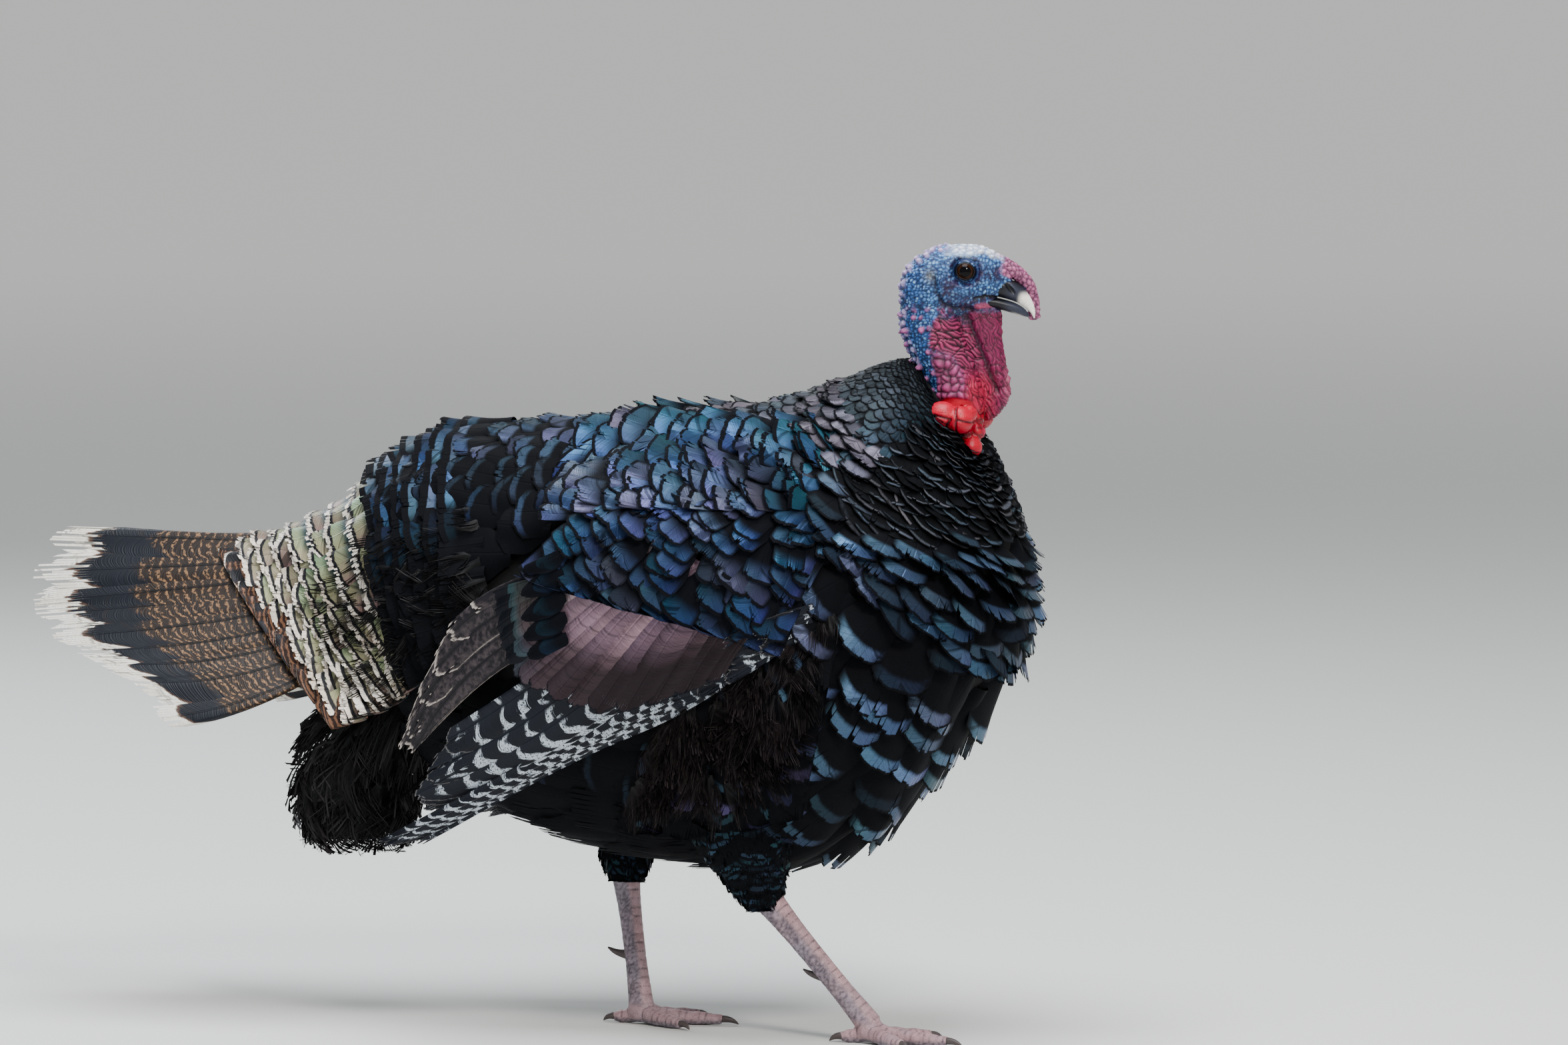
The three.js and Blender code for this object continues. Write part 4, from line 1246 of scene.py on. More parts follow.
# %% Eyelids
def lid_ring(side):
    """A swollen ring round the eye: a short profile (radius, lift off the globe) turned once."""
    profile = np.array([[6.9, -0.3], [7.1, 0.5], [7.6, 1.15], [8.3, 1.25], [9.0, 0.75],
                        [9.7, 1.0], [10.5, 0.6], [11.4, 0.5], [12.6, -0.9]])
    steps, turns = 28, 96
    r, lift = spline(profile, np.linspace(0, 1, steps)).T
    angle = np.linspace(0, 2 * np.pi, turns, endpoint=False)
    radius, a = np.meshgrid(r, angle, indexing="ij")
    raised = lift[:, None] + 0.14 * np.sin(23 * a + 3 * np.sin(2 * a)) * smooth(8, 10, radius)
    globe = GLOBE_OUT + np.sqrt(GLOBE**2 - np.minimum(radius, 9.6) ** 2)
    f, u = turned(radius * np.cos(a) * 1.06, radius * np.sin(a) * 0.95, 12)
    points = from_head(pack(f, side * (globe + raised), u)).reshape(-1, 3)
    i, j = np.meshgrid(np.arange(steps - 1), np.arange(turns), indexing="ij")
    a0, b0 = (i * turns + j).ravel(), (i * turns + (j + 1) % turns).ravel()
    quads = pack(a0, b0, b0 + turns, a0 + turns)
    if side > 0:
        quads = quads[:, ::-1]
    ridge = np.clip(lift, 0, 2)[:, None] / 1.3 + 0 * a
    near, far = np.array([0.002, 0.0015, 0.004]), np.array([0.02, 0.05, 0.17])
    share = smooth(8.6, 11.5, radius)[..., None]
    # brighter where the lid rises and darker where it dips: painted highlight and painted shade
    tone = (near + (far - near) * share) * (0.5 + 0.8 * ridge[..., None])
    return points, quads, tone.reshape(-1, 3)


# %% [markdown]
# ## Skin of legs and trunk
#
# The legs are bare and scaly. Their forms are fused in the same way as the head. The trunk's
# skin is only seen as darkness between feathers, so it is coarse, lies a feather's depth
# inside and is near-black: painted shade between the feathers. All of it is joined into one skin.

# %% Legs and feet
FOOT = {"left": np.array([96.0, 20, 0]), "right": np.array([333.0, -46, 0])}
HOCK = {"left": np.array([71.0, 44, 148]), "right": np.array([230.0, -60, 140])}
FOOT_TURN = {"left": 4, "right": -2}
ANKLE_HEIGHT = 16
# share of the way down, half depth, half width
SHANK = [[-0.12, 17, 15], [0, 15, 13.5], [0.14, 12.6, 10.8], [0.35, 10.2, 8.8], [0.7, 9.4, 8.2],
         [0.9, 10.4, 9.8], [1, 11, 11]]
# direction in degrees from forward, outward positive, then length, half width, claw length
TOES = {"middle": (4, 74, 7.2, 15), "outer": (42, 58, 6.4, 12), "inner": (-36, 56, 6.4, 12),
        "hind": (172, 27, 5, 10)}
SIDE_OF = {"left": 1, "right": -1}
# share of a toe's length, height, half height, how much wider than the toe: a pad per joint
TOE_ROWS = [(-0.08, 12, 7.6, 0), (0.14, 9, 8.2, 0.8), (0.3, 7, 6.6, -0.6), (0.42, 6.6, 7, 0.3),
            (0.58, 5.8, 5.8, -0.9), (0.72, 5.6, 6, -0.3), (0.88, 5.2, 4.8, -1.8),
            (1.0, 5, 4.3, -2.4)]


def toe_path(name, toe, rows):
    """Rows of (share of the toe's length, height, half height, half width) as tube rows."""
    degrees, length, wide, _ = TOES[toe]
    angle = np.radians(FOOT_TURN[name] + SIDE_OF[name] * degrees)
    way = np.array([np.cos(angle), np.sin(angle), 0])
    table = [[*(FOOT[name] + way * length * k + [0, 0, h]), tall, broad + wide]
             for k, h, tall, broad in rows]
    return np.array(table) * MM, (-way[1], way[0], 0)


def leg_forms(name):
    """Shank, ball of the foot and four toes with pads under their joints."""
    hock, foot = HOCK[name], FOOT[name] + [0, 0, ANKLE_HEIGHT]
    shank = np.array([[*(hock + (foot - hock) * k), deep, wide] for k, deep, wide in SHANK]) * MM
    forms = [tube(shank, 28, 40), ball((FOOT[name] + [0, 0, 12]) * MM,
                                       np.array([12, 11, 11]) * MM)]
    for toe in TOES:
        path, side = toe_path(name, toe, TOE_ROWS)
        forms.append(tube(path, 20, 30, side))
    return forms


leg_points, leg_quads = fused(leg_forms("left") + leg_forms("right"), 0.0018, 3)
leg_points[:, 2] = np.maximum(leg_points[:, 2], 0.0)


def plates(distance, spacing):
    """Flat plates in a row, with narrow grooves between them."""
    off = np.abs(np.modf(distance / spacing)[0] - 0.5) * 2
    return unit((1 - off) * 4) ** 0.6


def leg_relief(points):
    """Scales: long plates down the front and over the toes, small round ones elsewhere."""
    x = points / MM
    left = (np.abs(x - FOOT["left"]).sum(1) < np.abs(x - FOOT["right"]).sum(1))
    hock = np.where(left[:, None], HOCK["left"], HOCK["right"])
    foot = np.where(left[:, None], FOOT["left"], FOOT["right"]) + [0, 0, ANKLE_HEIGHT]
    way = foot - hock
    way = way / np.linalg.norm(way, axis=1, keepdims=True)
    down = np.sum((x - hock) * way, axis=1)
    off = x - hock - down[:, None] * way
    shank = smooth(14, 24, x[:, 2])
    first, second, own = cells(x, 4.6, 3.0)
    grain = unit((second - first) * 2.6) ** 0.6
    plate = plates(down + 4.0 * (off[:, 1] > 0), 8.0)
    front = smooth(2, 6, off[:, 0]) * shank
    reach = np.hypot(*(x - foot).T[:2])
    toe = (1 - shank) * smooth(3.5, 6, x[:, 2])
    scute = plates(reach, 6.0)
    height = 0.45 * grain * (1 - front) * (1 - toe) + 0.7 * plate * front + 0.7 * scute * toe
    relief = grain * (1 - front) * (1 - toe) + plate * front + scute * toe
    groove, grey = np.array([0.055, 0.045, 0.06]), np.array([0.25, 0.21, 0.25])
    pink = np.array([0.46, 0.26, 0.27])
    # the left leg, turned away from the camera, is less pink: painted shade
    blush = unit(0.15 + 0.55 * front + 0.5 * toe + 0.25 * waves(x, 16, 9.0)
                    - 0.1 * left)[:, None]
    tone = grey + (pink - grey) * blush
    # painted shade: the darker groove tone between the scales
    tone = groove + (tone - groove) * unit(relief)[:, None]
    tone = tone * (0.85 + 0.3 * own[:, None])
    return height, np.clip(tone, 0.005, 1)


leg_normals = normals_of(leg_points, leg_quads)
scale_height, leg_tint = leg_relief(leg_points)
low = smooth(0.0015, 0.005, leg_points[:, 2])
leg_points = leg_points + leg_normals * (scale_height * MM * low)[:, None]
leg_points[:, 2] = np.maximum(leg_points[:, 2], 0.0)
print("leg skin points:", len(leg_points))


# %% One skin
def grid_quads(rows, columns):
    """Faces of a grid of points, rows by columns."""
    base = (np.arange(rows - 1)[:, None] * columns + np.arange(columns - 1)[None]).ravel()
    return pack(base, base + 1, base + columns + 1, base + columns)


# height, middle x, middle y, half length, half width
THIGH = {
    "right": [[262, 212, -78, 66, 44], [222, 216, -78, 62, 44], [186, 222, -74, 50, 38],
              [160, 227, -68, 36, 29], [140, 231, -62, 26, 22], [120, 237, -58, 15, 13]],
    "left": [[262, 92, 76, 64, 44], [226, 88, 72, 58, 42], [194, 82, 62, 46, 36],
             [168, 77, 53, 33, 29], [150, 74, 45, 25, 22], [128, 75, 40, 15, 13]],
}
# the same for the loose feathers under the tail
VENT = [[330, -80, 0, 50, 60], [300, -108, 0, 54, 66], [262, -140, 0, 60, 72],
        [222, -160, 0, 58, 66], [188, -168, 0, 50, 52], [162, -168, 0, 38, 34]]


def limb_place(rows, sink):
    """A leg or plume cluster: level ovals down its length."""
    def place(p, q):
        z, x, y, rx, ry = np.moveaxis(spline(rows, p), -1, 0) * MM
        a = 2 * np.pi * q
        return pack(x + (rx - sink) * np.cos(a), y + (ry - sink) * np.sin(a), z)
    return place


def grid_skin(place, rows, columns):
    """A closed sleeve: a grid of points on a place function, once round."""
    p, q = np.meshgrid(np.linspace(0, 1, rows), np.linspace(0, 1, columns), indexing="ij")
    return place(p, q).reshape(-1, 3), grid_quads(rows, columns)


CORES = [grid_skin(lambda p, q: body(p, np.pi * (2 * q - 1), 0.016), 48, 49)]
CORES += [grid_skin(limb_place(THIGH[name], 0.01), 14, 21) for name in THIGH]
CORES += [grid_skin(limb_place(VENT, 0.016), 14, 25)]
core_count = sum(len(points) for points, _ in CORES)
skin_parts = [(head_points, head_quads), (leg_points, leg_quads)] + CORES
# near-black trunk, thigh and vent cores: painted shade under the feathers
skin_tints = [head_tint, leg_tint, np.full((core_count, 3), 0.002)]
skin_shine = [head_shine, np.full(len(leg_points), 0.5), np.full(core_count, 0.95)]
for side in (-1, 1):
    points, quads, tone = lid_ring(side)
    skin_parts.append((points, quads))
    skin_tints.append(tone)
    skin_shine.append(np.full(len(points), 0.35))


def skin_finish():
    """Live skin: its colour and shine are stored on the mesh, fine grain comes from noise."""
    material, tree = blank("turkey_skin")
    grain = object_place(tree).noise(900.0)
    return paint(material, {
        "Base Color": mix(1.0, read(tree, "tint")[0], grain.times(0.9, 0.55), "MULTIPLY"),
        "Roughness": read(tree, "shine")[1], "Specular IOR Level": 0.3,
        "Normal": grain.bump(0.4, 0.0009)})


skin = mesh_object("skin", *together(*skin_parts), skin_finish())
shine = np.concatenate(skin_shine)
give(skin, "tint", np.concatenate(skin_tints))
give(skin, "shine", pack(shine, shine, shine))
settle(skin, [
    "head", "neck_upper", "neck_lower", "dewlap", "snood", "caruncle_front",
    "caruncle_side_right", "caruncle_side_left", "trunk", "tarsus_right", "tarsus_left",
    "foot_right", "foot_left", "wing_right", "wing_left", "tail_coverts", "undertail_coverts",
    "thigh_right", "thigh_left"])


# %% [markdown]
# ## Eyes and bill
#
# Seen close, the eye is what makes the bird alive: a black pupil, a brown ring and a clear
# wet coat. The globe is a set of rings round its own axis, so the iris can be coloured by the
# distance from that axis. The bill is a pair of horn shells, dark at the base and ivory at
# the tip, with a slit of a nostril.

# %% Eyes
def eye_finish():
    """Pupil, iris and rim by distance from the axis, under a clear coat."""
    material, tree = blank("turkey_eye")
    _, radius, angle, _ = read(tree, "iris")
    brown = vector(angle, radius).noise(9.0, 3.0).ramp((0.3, 0.008, 0.002, 0.001),
                                                       (0.7, 0.036, 0.013, 0.005))
    colour = mix(radius.step(4.7, 5.4), (0.0015, 0.0015, 0.002), brown)
    colour = mix(radius.step(6.6, 7.3), colour, (0.004, 0.003, 0.004))
    return paint(material, {"Base Color": colour, "Roughness": 0.4, "Specular IOR Level": 0.0,
                            "Coat Weight": 0.22, "Coat Roughness": 0.03})


EYE = eye_finish()


def eye_globe(name, side):
    """A ball of 10 mm radius whose pole points sideways, out of the head."""
    polar = np.concatenate([np.linspace(0.02, 1.2, 40), np.linspace(1.3, 3.1, 14)])
    angle = 2 * np.pi * np.arange(64) / 64
    r = GLOBE * np.sin(polar)[:, None]
    cornea = 0.5 * np.exp(-(r / 5.2) ** 2) * (polar < 1.57)[:, None]
    depth = GLOBE_OUT + GLOBE * np.cos(polar)[:, None] + cornea
    local = pack(r * np.cos(angle), side * depth, r * np.sin(angle))
    points, faces = loft(from_head(local))
    globe = mesh_object(f"globe_{name}", points, faces, EYE)
    f, _, u = to_head(points).T
    give(globe, "iris", pack(np.hypot(f, u), np.arctan2(u, f), 0))
    settle(globe, [f"eye_{name}"])


eye_globe("right", -1)
eye_globe("left", 1)

# %% Bill
# ridge forward, up, edge forward, up, half width
BILL_UPPER = [
    [24, -8, 17, -21.5, 10.0], [34, -7.6, 29, -23.5, 9.4], [41, -8.6, 37, -25.5, 8.6],
    [48, -12, 44.5, -28, 7.2], [54.5, -19.5, 50, -31, 5.6], [59.3, -28.5, 54.5, -34.5, 3.8],
    [61.3, -36, 58, -38.6, 2.2], [60.9, -42.2, 60, -42.6, 0.7],
]
BILL_LOWER = [
    [10, -22.4, 10, -31, 9.3], [26, -24.0, 25, -33.4, 8.6], [36, -26.3, 34.5, -36, 7.5],
    [44, -29.0, 42.5, -38.4, 5.9], [51, -33.2, 49.5, -40.6, 3.8], [55.8, -38.6, 55.4, -41.4, 1.2],
]


def bill_shell(rows):
    """Rings between a ridge line and an edge line, broader than high, squared a little."""
    x1, z1, x2, z2, wide = spline(rows, np.linspace(0, 1, 60)).T
    centre = from_head(pack((x1 + x2) / 2, 0, (z1 + z2) / 2))
    high = from_head(pack(x1, 0, z1))
    left = (pack(0, wide, 0) * MM) @ TURN.T
    return loft(ring_points(centre, left, high - centre, 48, 0.86))


def horn_finish():
    """Polished horn with a faint grain; the colour is stored on the mesh."""
    material, tree = blank("turkey_horn")
    grain = object_place(tree).noise(500.0, 3.0)
    return paint(material, {
        "Base Color": mix(1.0, read(tree, "tint")[0], grain.times(0.5, 0.75), "MULTIPLY"),
        "Roughness": 0.4, "Specular IOR Level": 0.3, "Normal": grain.bump(0.2, 0.0005)})


HORN = horn_finish()


def bill_piece(name, rows, lower):
    """A shell with its nostril pressed in and its colour laid on; the nostril hollow is darkened
    almost to black, as painted shade.
    """
    points, faces = bill_shell(rows)
    f, l, u = to_head(points).T
    a, b = turned(f - 39.5, u + 16.2, -48)
    nostril = unit(1 - (a / 6.4) ** 2 - (b / 2.3) ** 2) * (not lower)
    hood = np.exp(-(a / 6.5) ** 2 - ((b - 3.0) / 1.8) ** 2) * (not lower)
    l = l - np.sign(l) * (2.2 * nostril**0.5 - 0.7 * hood) * (np.abs(l) > 1.5)
    points = from_head(pack(f, l, u))
    dark, grey = np.array([0.004, 0.004, 0.007]), np.array([0.022, 0.025, 0.042])
    ivory = np.array([0.88, 0.84, 0.76])
    if lower:
        pale = smooth(38, 48, f) * smooth(-35.5, -38.0, u + 0.42 * (f - 42)) * 0.7
    else:
        pale = smooth(44, 50, f - 0.25 * (u + 26)) * smooth(-17, -24, u)
    greyer = unit(smooth(30, 42, f) * smooth(-10, -22, u) + hood)
    tone = dark + (grey - dark) * greyer[:, None]
    tone = tone + (ivory - tone) * unit(pale)[:, None]
    # painted shade: the nostril hollow darkened almost to black
    tone = tone * (1 - 0.93 * nostril[:, None] ** 0.5)
    bill = mesh_object(name, points, faces, HORN)
    give(bill, "tint", tone)
    settle(bill,
           ["bill_lower" if lower else "bill_upper"])


bill_piece("bill_shell_upper", BILL_UPPER, False)
bill_piece("bill_shell_lower", BILL_LOWER, True)


# %% Claws and spurs
def claw_shapes(name):
    """A curved, pointed claw on each toe."""
    shapes = []
    for toe, (_, length, wide, size) in TOES.items():
        ends = [(-4, 5.4, 2.9, 3.0), (0.1 * size, 5.8, 3.2, 3.1), (0.45 * size, 5.2, 2.7, 2.5),
                (0.75 * size, 3.6, 1.8, 1.6), (size, 1.3, 0.5, 0.5)]
        rows = [(1 + reach / length, height, tall, broad - wide)
                for reach, height, tall, broad in ends]
        path, side = toe_path(name, toe, rows)
        shapes.append(tube(path, 14, 18, side))
    return shapes


def spur_shape(name):
    """A blunt upward hook at the back of the shank."""
    hock, foot = HOCK[name], FOOT[name] + [0, 0, ANKLE_HEIGHT]
    root = hock + (foot - hock) * 0.66
    rows = [(4, 0, 5, 4.5), (10, 0.5, 4.2, 3.8), (16, 1.6, 3.1, 2.9), (21, 3.4, 2.2, 2.0),
            (26, 6.2, 0.8, 0.8)]
    path = np.array([[*(root + [-back, 0, up]), tall, broad] for back, up, tall, broad in rows])
    return tube(path * MM, 16, 20)


def horn_piece(name, shapes, nodes):
    """Joined horn shapes of one tone."""
    points, faces = together(*shapes)
    thing = mesh_object(name, points, faces, HORN)
    give(thing, "tint", np.broadcast_to([0.07, 0.055, 0.055], points.shape))
    settle(thing, nodes)


for leg in ("left", "right"):
    horn_piece(f"claws_{leg}", claw_shapes(leg), [f"claw_{leg}_{toe}" for toe in TOES])
    horn_piece(f"spurs_{leg}", [spur_shape(leg)], [f"spur_{leg}"])

# %% [markdown]
# ## Finishes of wing and tail
#
# The big feathers carry the real patterns: white bars on black in the wing, fine buff
# scribbles on brown in the tail with a black band and a cream tip, and a plain coppery sheen
# on the great coverts. Each pattern is measured from the feather's tip in metres, so bars
# keep their true width on long and short feathers alike.

# %% Patterned finishes
class Web:
    """A feather's material, and the wires that every pattern begins with."""

    def __init__(self, name, fineness=900.0, slant=0.8):
        self.material, tree = blank(name)
        self.tree = tree
        self.span, self.across, self.tip, self.tuft = read(tree, "span")
        self.lines, self.clump, self.shaft = barbs(self.span, fineness, slant)
        self.v = vane_side(tree)
        self.side, self.out = abs(self.v), abs(self.across)
        self.ragged, self.where = self.clump - 0.5, object_place(tree)

    def drift(self, scale):
        """Noise from -0.5 to 0.5 over the bird."""
        return self.where.noise(scale) - 0.5

    def blotch(self, scale, first, last):
        """Two colours, blended by noise over the bird."""
        return mix(self.where.noise(scale), first, last)

    def finish(self, colour, metallic, roughness, relief=0.5):
        """Barb shading, bump and gloss, which all patterns share."""
        return paint(self.material, {
            "Base Color": mix(1.0, colour, self.lines.times(0.8, 0.6), "MULTIPLY"),
            "Metallic": metallic, "Roughness": roughness, "Specular IOR Level": 0.2,
            "Normal": self.shaft.times(2.0, self.lines).bump(relief, 0.0007)})


# %% Bars
def barred_finish(name, spacing, share, slant, one_sided):
    """Black feather with white bars: a saw of (tip + slant * |across|), frayed by noise."""
    web = Web(name)
    run = (web.lines - 0.5).times(0.008, web.out.times(slant, web.tip))
    run = web.drift(60.0).times(0.016, web.ragged.times(0.008, run))
    run = web.tuft.times(spacing, run)
    wide = (web.side * web.side).times(share * 0.42, share * 0.12)
    bar = (run.stripes(spacing) - wide).step(0.04, -0.02)
    bar = bar * web.where.noise(700.0).step(0.3, 0.52) * web.tip.step(0.01, 0.016)
    bar = bar * (web.v.step(-0.35, -0.1) if one_sided else web.side.step(0.02, 0.2))
    dark = web.side.ramp((0.0, 0.004, 0.006, 0.012), (1.0, 0.0025, 0.003, 0.006))
    edge = web.tip.step(0.0018, 0.0004).over(web.side.step(0.955, 0.99) * 0.7)
    colour = mix(edge * 0.5, mix(bar, dark, (0.42, 0.47, 0.53)), (0.22, 0.21, 0.21))
    return web.finish(colour, 0.2, 0.4)


# %% Tail and its coverts
JET = (0.003, 0.003, 0.005)


def tail_finish():
    """Cream tip, black band, then brown with buff scribbles that break into dots."""
    web = Web("tail_feather", 800.0, 0.9)
    depth = web.out.times(-0.25, web.ragged.times(0.014, web.tip))
    run = web.out.times(0.35, web.drift(130.0).times(0.01, web.tip))
    mark = run.stripes(0.0072).step(0.24, 0.1) * web.where.noise(420.0, 3.0).step(0.42, 0.56)
    mark = mark * web.tip.step(0.3, 0.07).times(0.6, 0.4)
    brown = web.blotch(30.0, (0.008, 0.006, 0.006), (0.026, 0.016, 0.011))
    brown = mix(mark, brown, (0.21, 0.115, 0.058))
    # dark edges: painted shade where the neighbouring feathers overlap; a dark line also runs along
    # the shaft
    rim = web.side.step(0.8, 0.95).over(web.side.step(0.1, 0.03))
    brown = mix(rim * 0.8, brown, (0.004, 0.004, 0.005))
    black = web.blotch(18.0, (0.003, 0.0035, 0.006), (0.007, 0.009, 0.015))
    cream = web.blotch(60.0, (0.62, 0.56, 0.46), (0.8, 0.79, 0.74))
    colour = mix(depth.step(0.058, 0.07), black, brown)
    colour = mix(depth.step(0.024, 0.02), colour, (0.075, 0.04, 0.026))
    colour = mix(depth.step(0.0205, 0.018), colour, cream)
    # painted shade in the slits between clumps of barbs
    colour = mix(slits(web.clump, 0.5), colour, (0.01, 0.008, 0.008))
    return web.finish(colour, 0.1, 0.45, 0.6)


def covert_finish(name, tip_white, black, glow_tall, chestnut):
    """White fringe, black bar, then a glossy band that ends in black, or chestnut scribbles."""
    web = Web(name)
    depth = (web.tuft - 0.5).times(0.0015, web.ragged.times(0.0035, web.tip))
    black_end = tip_white + black
    glow_end = black_end + glow_tall
    film = oil_film((0.205, 0.185, 0.115), web.span, 0.3)
    glow = mix(depth.step(glow_end - 0.014, glow_end - 0.002), film, (0.01, 0.03, 0.038))
    glow = mix(depth.step(glow_end - 0.002, glow_end + 0.005), glow, (0.003, 0.0035, 0.005))
    if chestnut:
        run = web.drift(120.0).times(0.008, web.tip)
        glow = mix(run.stripes(0.0055).step(0.26, 0.12), (0.018, 0.009, 0.007),
                   (0.14, 0.065, 0.035))
        spot = web.side.step(0.12, 0.25) * web.side.step(0.85, 0.72)
        glow = mix(spot * depth.step(tip_white + 0.018, tip_white + 0.014), glow, JET)
    colour = mix(depth.step(black_end, black_end - 0.0012), glow, JET)
    buff = web.blotch(25.0, (0.4, 0.3, 0.21), (0.7, 0.68, 0.63))
    colour = mix(depth.step(tip_white, tip_white - 0.0012), colour, buff)
    # painted shade in the slits between clumps of barbs
    colour = mix(slits(web.clump, 0.7), colour, (0.008, 0.007, 0.008))
    return web.finish(colour, 0.3, 0.42, 0.6)


# %% Copper, grey-brown and down
def copper_finish():
    """Smooth copper-pink web; each feather reads how blue its tip is, how dark its lower
    half is and how tall its black tip is."""
    web = Web("copper_covert", 900.0, 0.6)
    _, blue, dusk, black = read(web.tree, "bands")
    depth = web.ragged.times(0.006, web.tip)
    film = oil_film(read(web.tree, "tint")[0], web.span, 0.12)
    colour = mix(web.tip.step(0.092, 0.04) * dusk, film, (0.014, 0.009, 0.011))
    colour = mix(depth.step(0.034, 0.016) * blue, colour,
                 web.blotch(30.0, (0.008, 0.03, 0.06), (0.02, 0.065, 0.065)))
    colour = mix((depth - black).step(0.0015, 0.0), colour, (0.003, 0.004, 0.007))
    streak = vector(web.tip * 700.0, web.across * 40.0, web.tuft).noise(0.5)
    colour = mix(streak.step(0.5, 0.3) * 0.55, colour, (0.012, 0.01, 0.012))
    # painted shade along the edge that the next feather overlaps
    colour = mix(web.v.step(-0.8, -0.97) * 0.85, colour, (0.006, 0.005, 0.006))
    return web.finish(colour, 0.55, 0.34, 0.35)


def tertial_finish():
    """Grey-brown web, darker along the shaft, with a worn pale edge."""
    web = Web("tertial_feather", 800.0)
    scribble = web.where.noise(220.0, 4.0).step(0.35, 0.68)
    brown = mix(scribble, (0.007, 0.006, 0.009), (0.05, 0.039, 0.043))
    brown = mix(web.side.step(0.3, 0.0), brown, (0.008, 0.007, 0.01))
    edge = web.side.step(0.8, 0.93).over(web.tip.step(0.0045, 0.0015))
    edge = edge * web.where.noise(260.0).step(0.22, 0.45)
    return web.finish(mix(edge, brown, (0.36, 0.31, 0.28)), 0.1, 0.5)


def down_finish():
    """Loose dark barbs that pale a little toward their ends."""
    web = Web("dark_down", 500.0, 0.4)
    colour = mix(web.tip.step(0.03, 0.0), (0.0025, 0.0025, 0.0035), (0.014, 0.012, 0.013))
    colour = mix(1.0, colour, read(web.tree, "tint")[0], "MULTIPLY")
    return web.finish(colour, 0.1, 0.6, 0.3)


SECONDARY = barred_finish("secondary_feather", 0.025, 0.58, 0.95, False)
PRIMARY = barred_finish("primary_feather", 0.0165, 0.5, 0.8, True)
TAIL_WEB = tail_finish()
RUMP_COVERT = covert_finish("rump_covert", 0.005, 0.0036, 0.018, False)
TAIL_COVERT = covert_finish("tail_covert", 0.014, 0.001, 0.02, True)
COPPER = copper_finish()
TERTIAL = tertial_finish()
DOWN = down_finish()
print("materials so far:", len(bpy.data.materials))

# %% [markdown]
# ## Wings
#
# The folded wing is laid like slates, from the wing's edge up: primaries first, then the
# barred secondaries, the grey tertials, the copper great coverts, rows of steel lesser
# coverts, and last the scapulars that roof the shoulder. Each tract is a patch drawn in side
# view, whose first direction is the way its feathers point.

# %% Rows and tints
def stretch(surface, places, to):
    """Length of each feather that runs from its root to the given p."""
    t = np.linspace(0, 1, 12)
    p = places["p"][:, None] + (to[:, None] - places["p"][:, None]) * t
    line = surface(p, places["q"][:, None] + 0 * p)
    return np.linalg.norm(np.diff(line, axis=1), axis=-1).sum(1)


def big_row(surface, q, to, width, shape, **form):
    """One row of big feathers that each run from the edge of a patch to their own p."""
    count = len(q)
    places = {"p": np.full(count, 0.01), "q": q, "row": np.zeros(count, int), "rows": 1,
              "col": np.arange(count), "cols": count}
    length = stretch(surface, places, to)
    return grow(surface, places, length, width, shape, to=to, **form), places


def patched(surface, places, size, seed, stops):
    """A tint that drifts in patches over a tract and differs a little between neighbours."""
    here = surface(places["p"], places["q"])
    share = 0.65 * patchy(here, size, seed) + 0.35 * rng.random(len(here))
    return mixed(stops, share) * rng.uniform(0.7, 1.3, (len(here), 1))


def banded(places, edge, tall, strength):
    """For each vane the width of its dark edge, its band's height and strength."""
    count = len(places["p"])
    return pack(rng.uniform(*edge, count), np.full(count, tall), rng.uniform(*strength, count))


NONE, ONE = np.zeros(3), np.ones(3)

# %% Patches of the wing
BIG = pattern(14, 18, 0.86, 2)
LONG = pattern(18, 10, 0.93, 2)
WIDE = pattern(8, 14, 0.8, 2)

# grids of points in millimetres: x, z and, where a patch leaves the flank, y
PRIMARIES = [
    [[300, 392, 160], [305, 372, 158]], [[205, 338, 172], [205, 304, 166]],
    [[105, 284, 172], [100, 255, 166]], [[0, 226, 160], [-5, 200, 156]],
    [[-105, 172, 134], [-100, 150, 132]],
]
SECONDARIES = [
    [[170, 392, 180], [205, 372, 176], [240, 352, 172]],
    [[95, 352, 182], [130, 332, 180], [168, 316, 174]],
    [[15, 302, 170], [45, 276, 172], [80, 262, 170]],
    [[-62, 256, 140], [-66, 224, 142], [-48, 200, 142]],
]
TERTIALS = [
    [[95, 432, 184], [95, 365, 186]], [[52, 418, 181], [48, 345, 184]],
    [[6, 392, 172], [8, 318, 177]], [[-42, 344, 156], [-32, 284, 162]],
    [[-92, 270, 136], [-64, 252, 144]],
]
GREAT_COVERTS = [
    [[165, 462, 184], [190, 452, 184], [215, 440, 181], [248, 420, 177], [292, 398, 170]],
    [[110, 440, 187], [125, 422, 188], [155, 405, 187], [205, 394, 184], [272, 380, 175]],
    [[68, 420, 187], [80, 388, 190], [108, 360, 191], [170, 346, 190], [255, 358, 180]],
    [[30, 408, 184], [40, 354, 187], [66, 320, 188], [140, 300, 188], [240, 332, 181]],
]
LESSER_COVERTS = [
    [[150, 518], [232, 516], [300, 505], [345, 482]],
    [[118, 487], [196, 482], [266, 468], [330, 448]],
    [[86, 457], [158, 444], [237, 428], [312, 406]],
    [[54, 420], [124, 402], [208, 382], [290, 354]],
]
SCAPULARS = [
    [[352, 552], [335, 512], [322, 478]], [[262, 556], [250, 515], [238, 480]],
    [[170, 556], [160, 512], [150, 478]], [[66, 552], [62, 505], [66, 462]],
]
WRIST_COVERTS = [
    [[322, 404, 162], [316, 378, 156]], [[270, 386, 176], [268, 344, 168]],
    [[215, 356, 180], [212, 314, 170]], [[170, 330, 180], [168, 296, 172]],
]


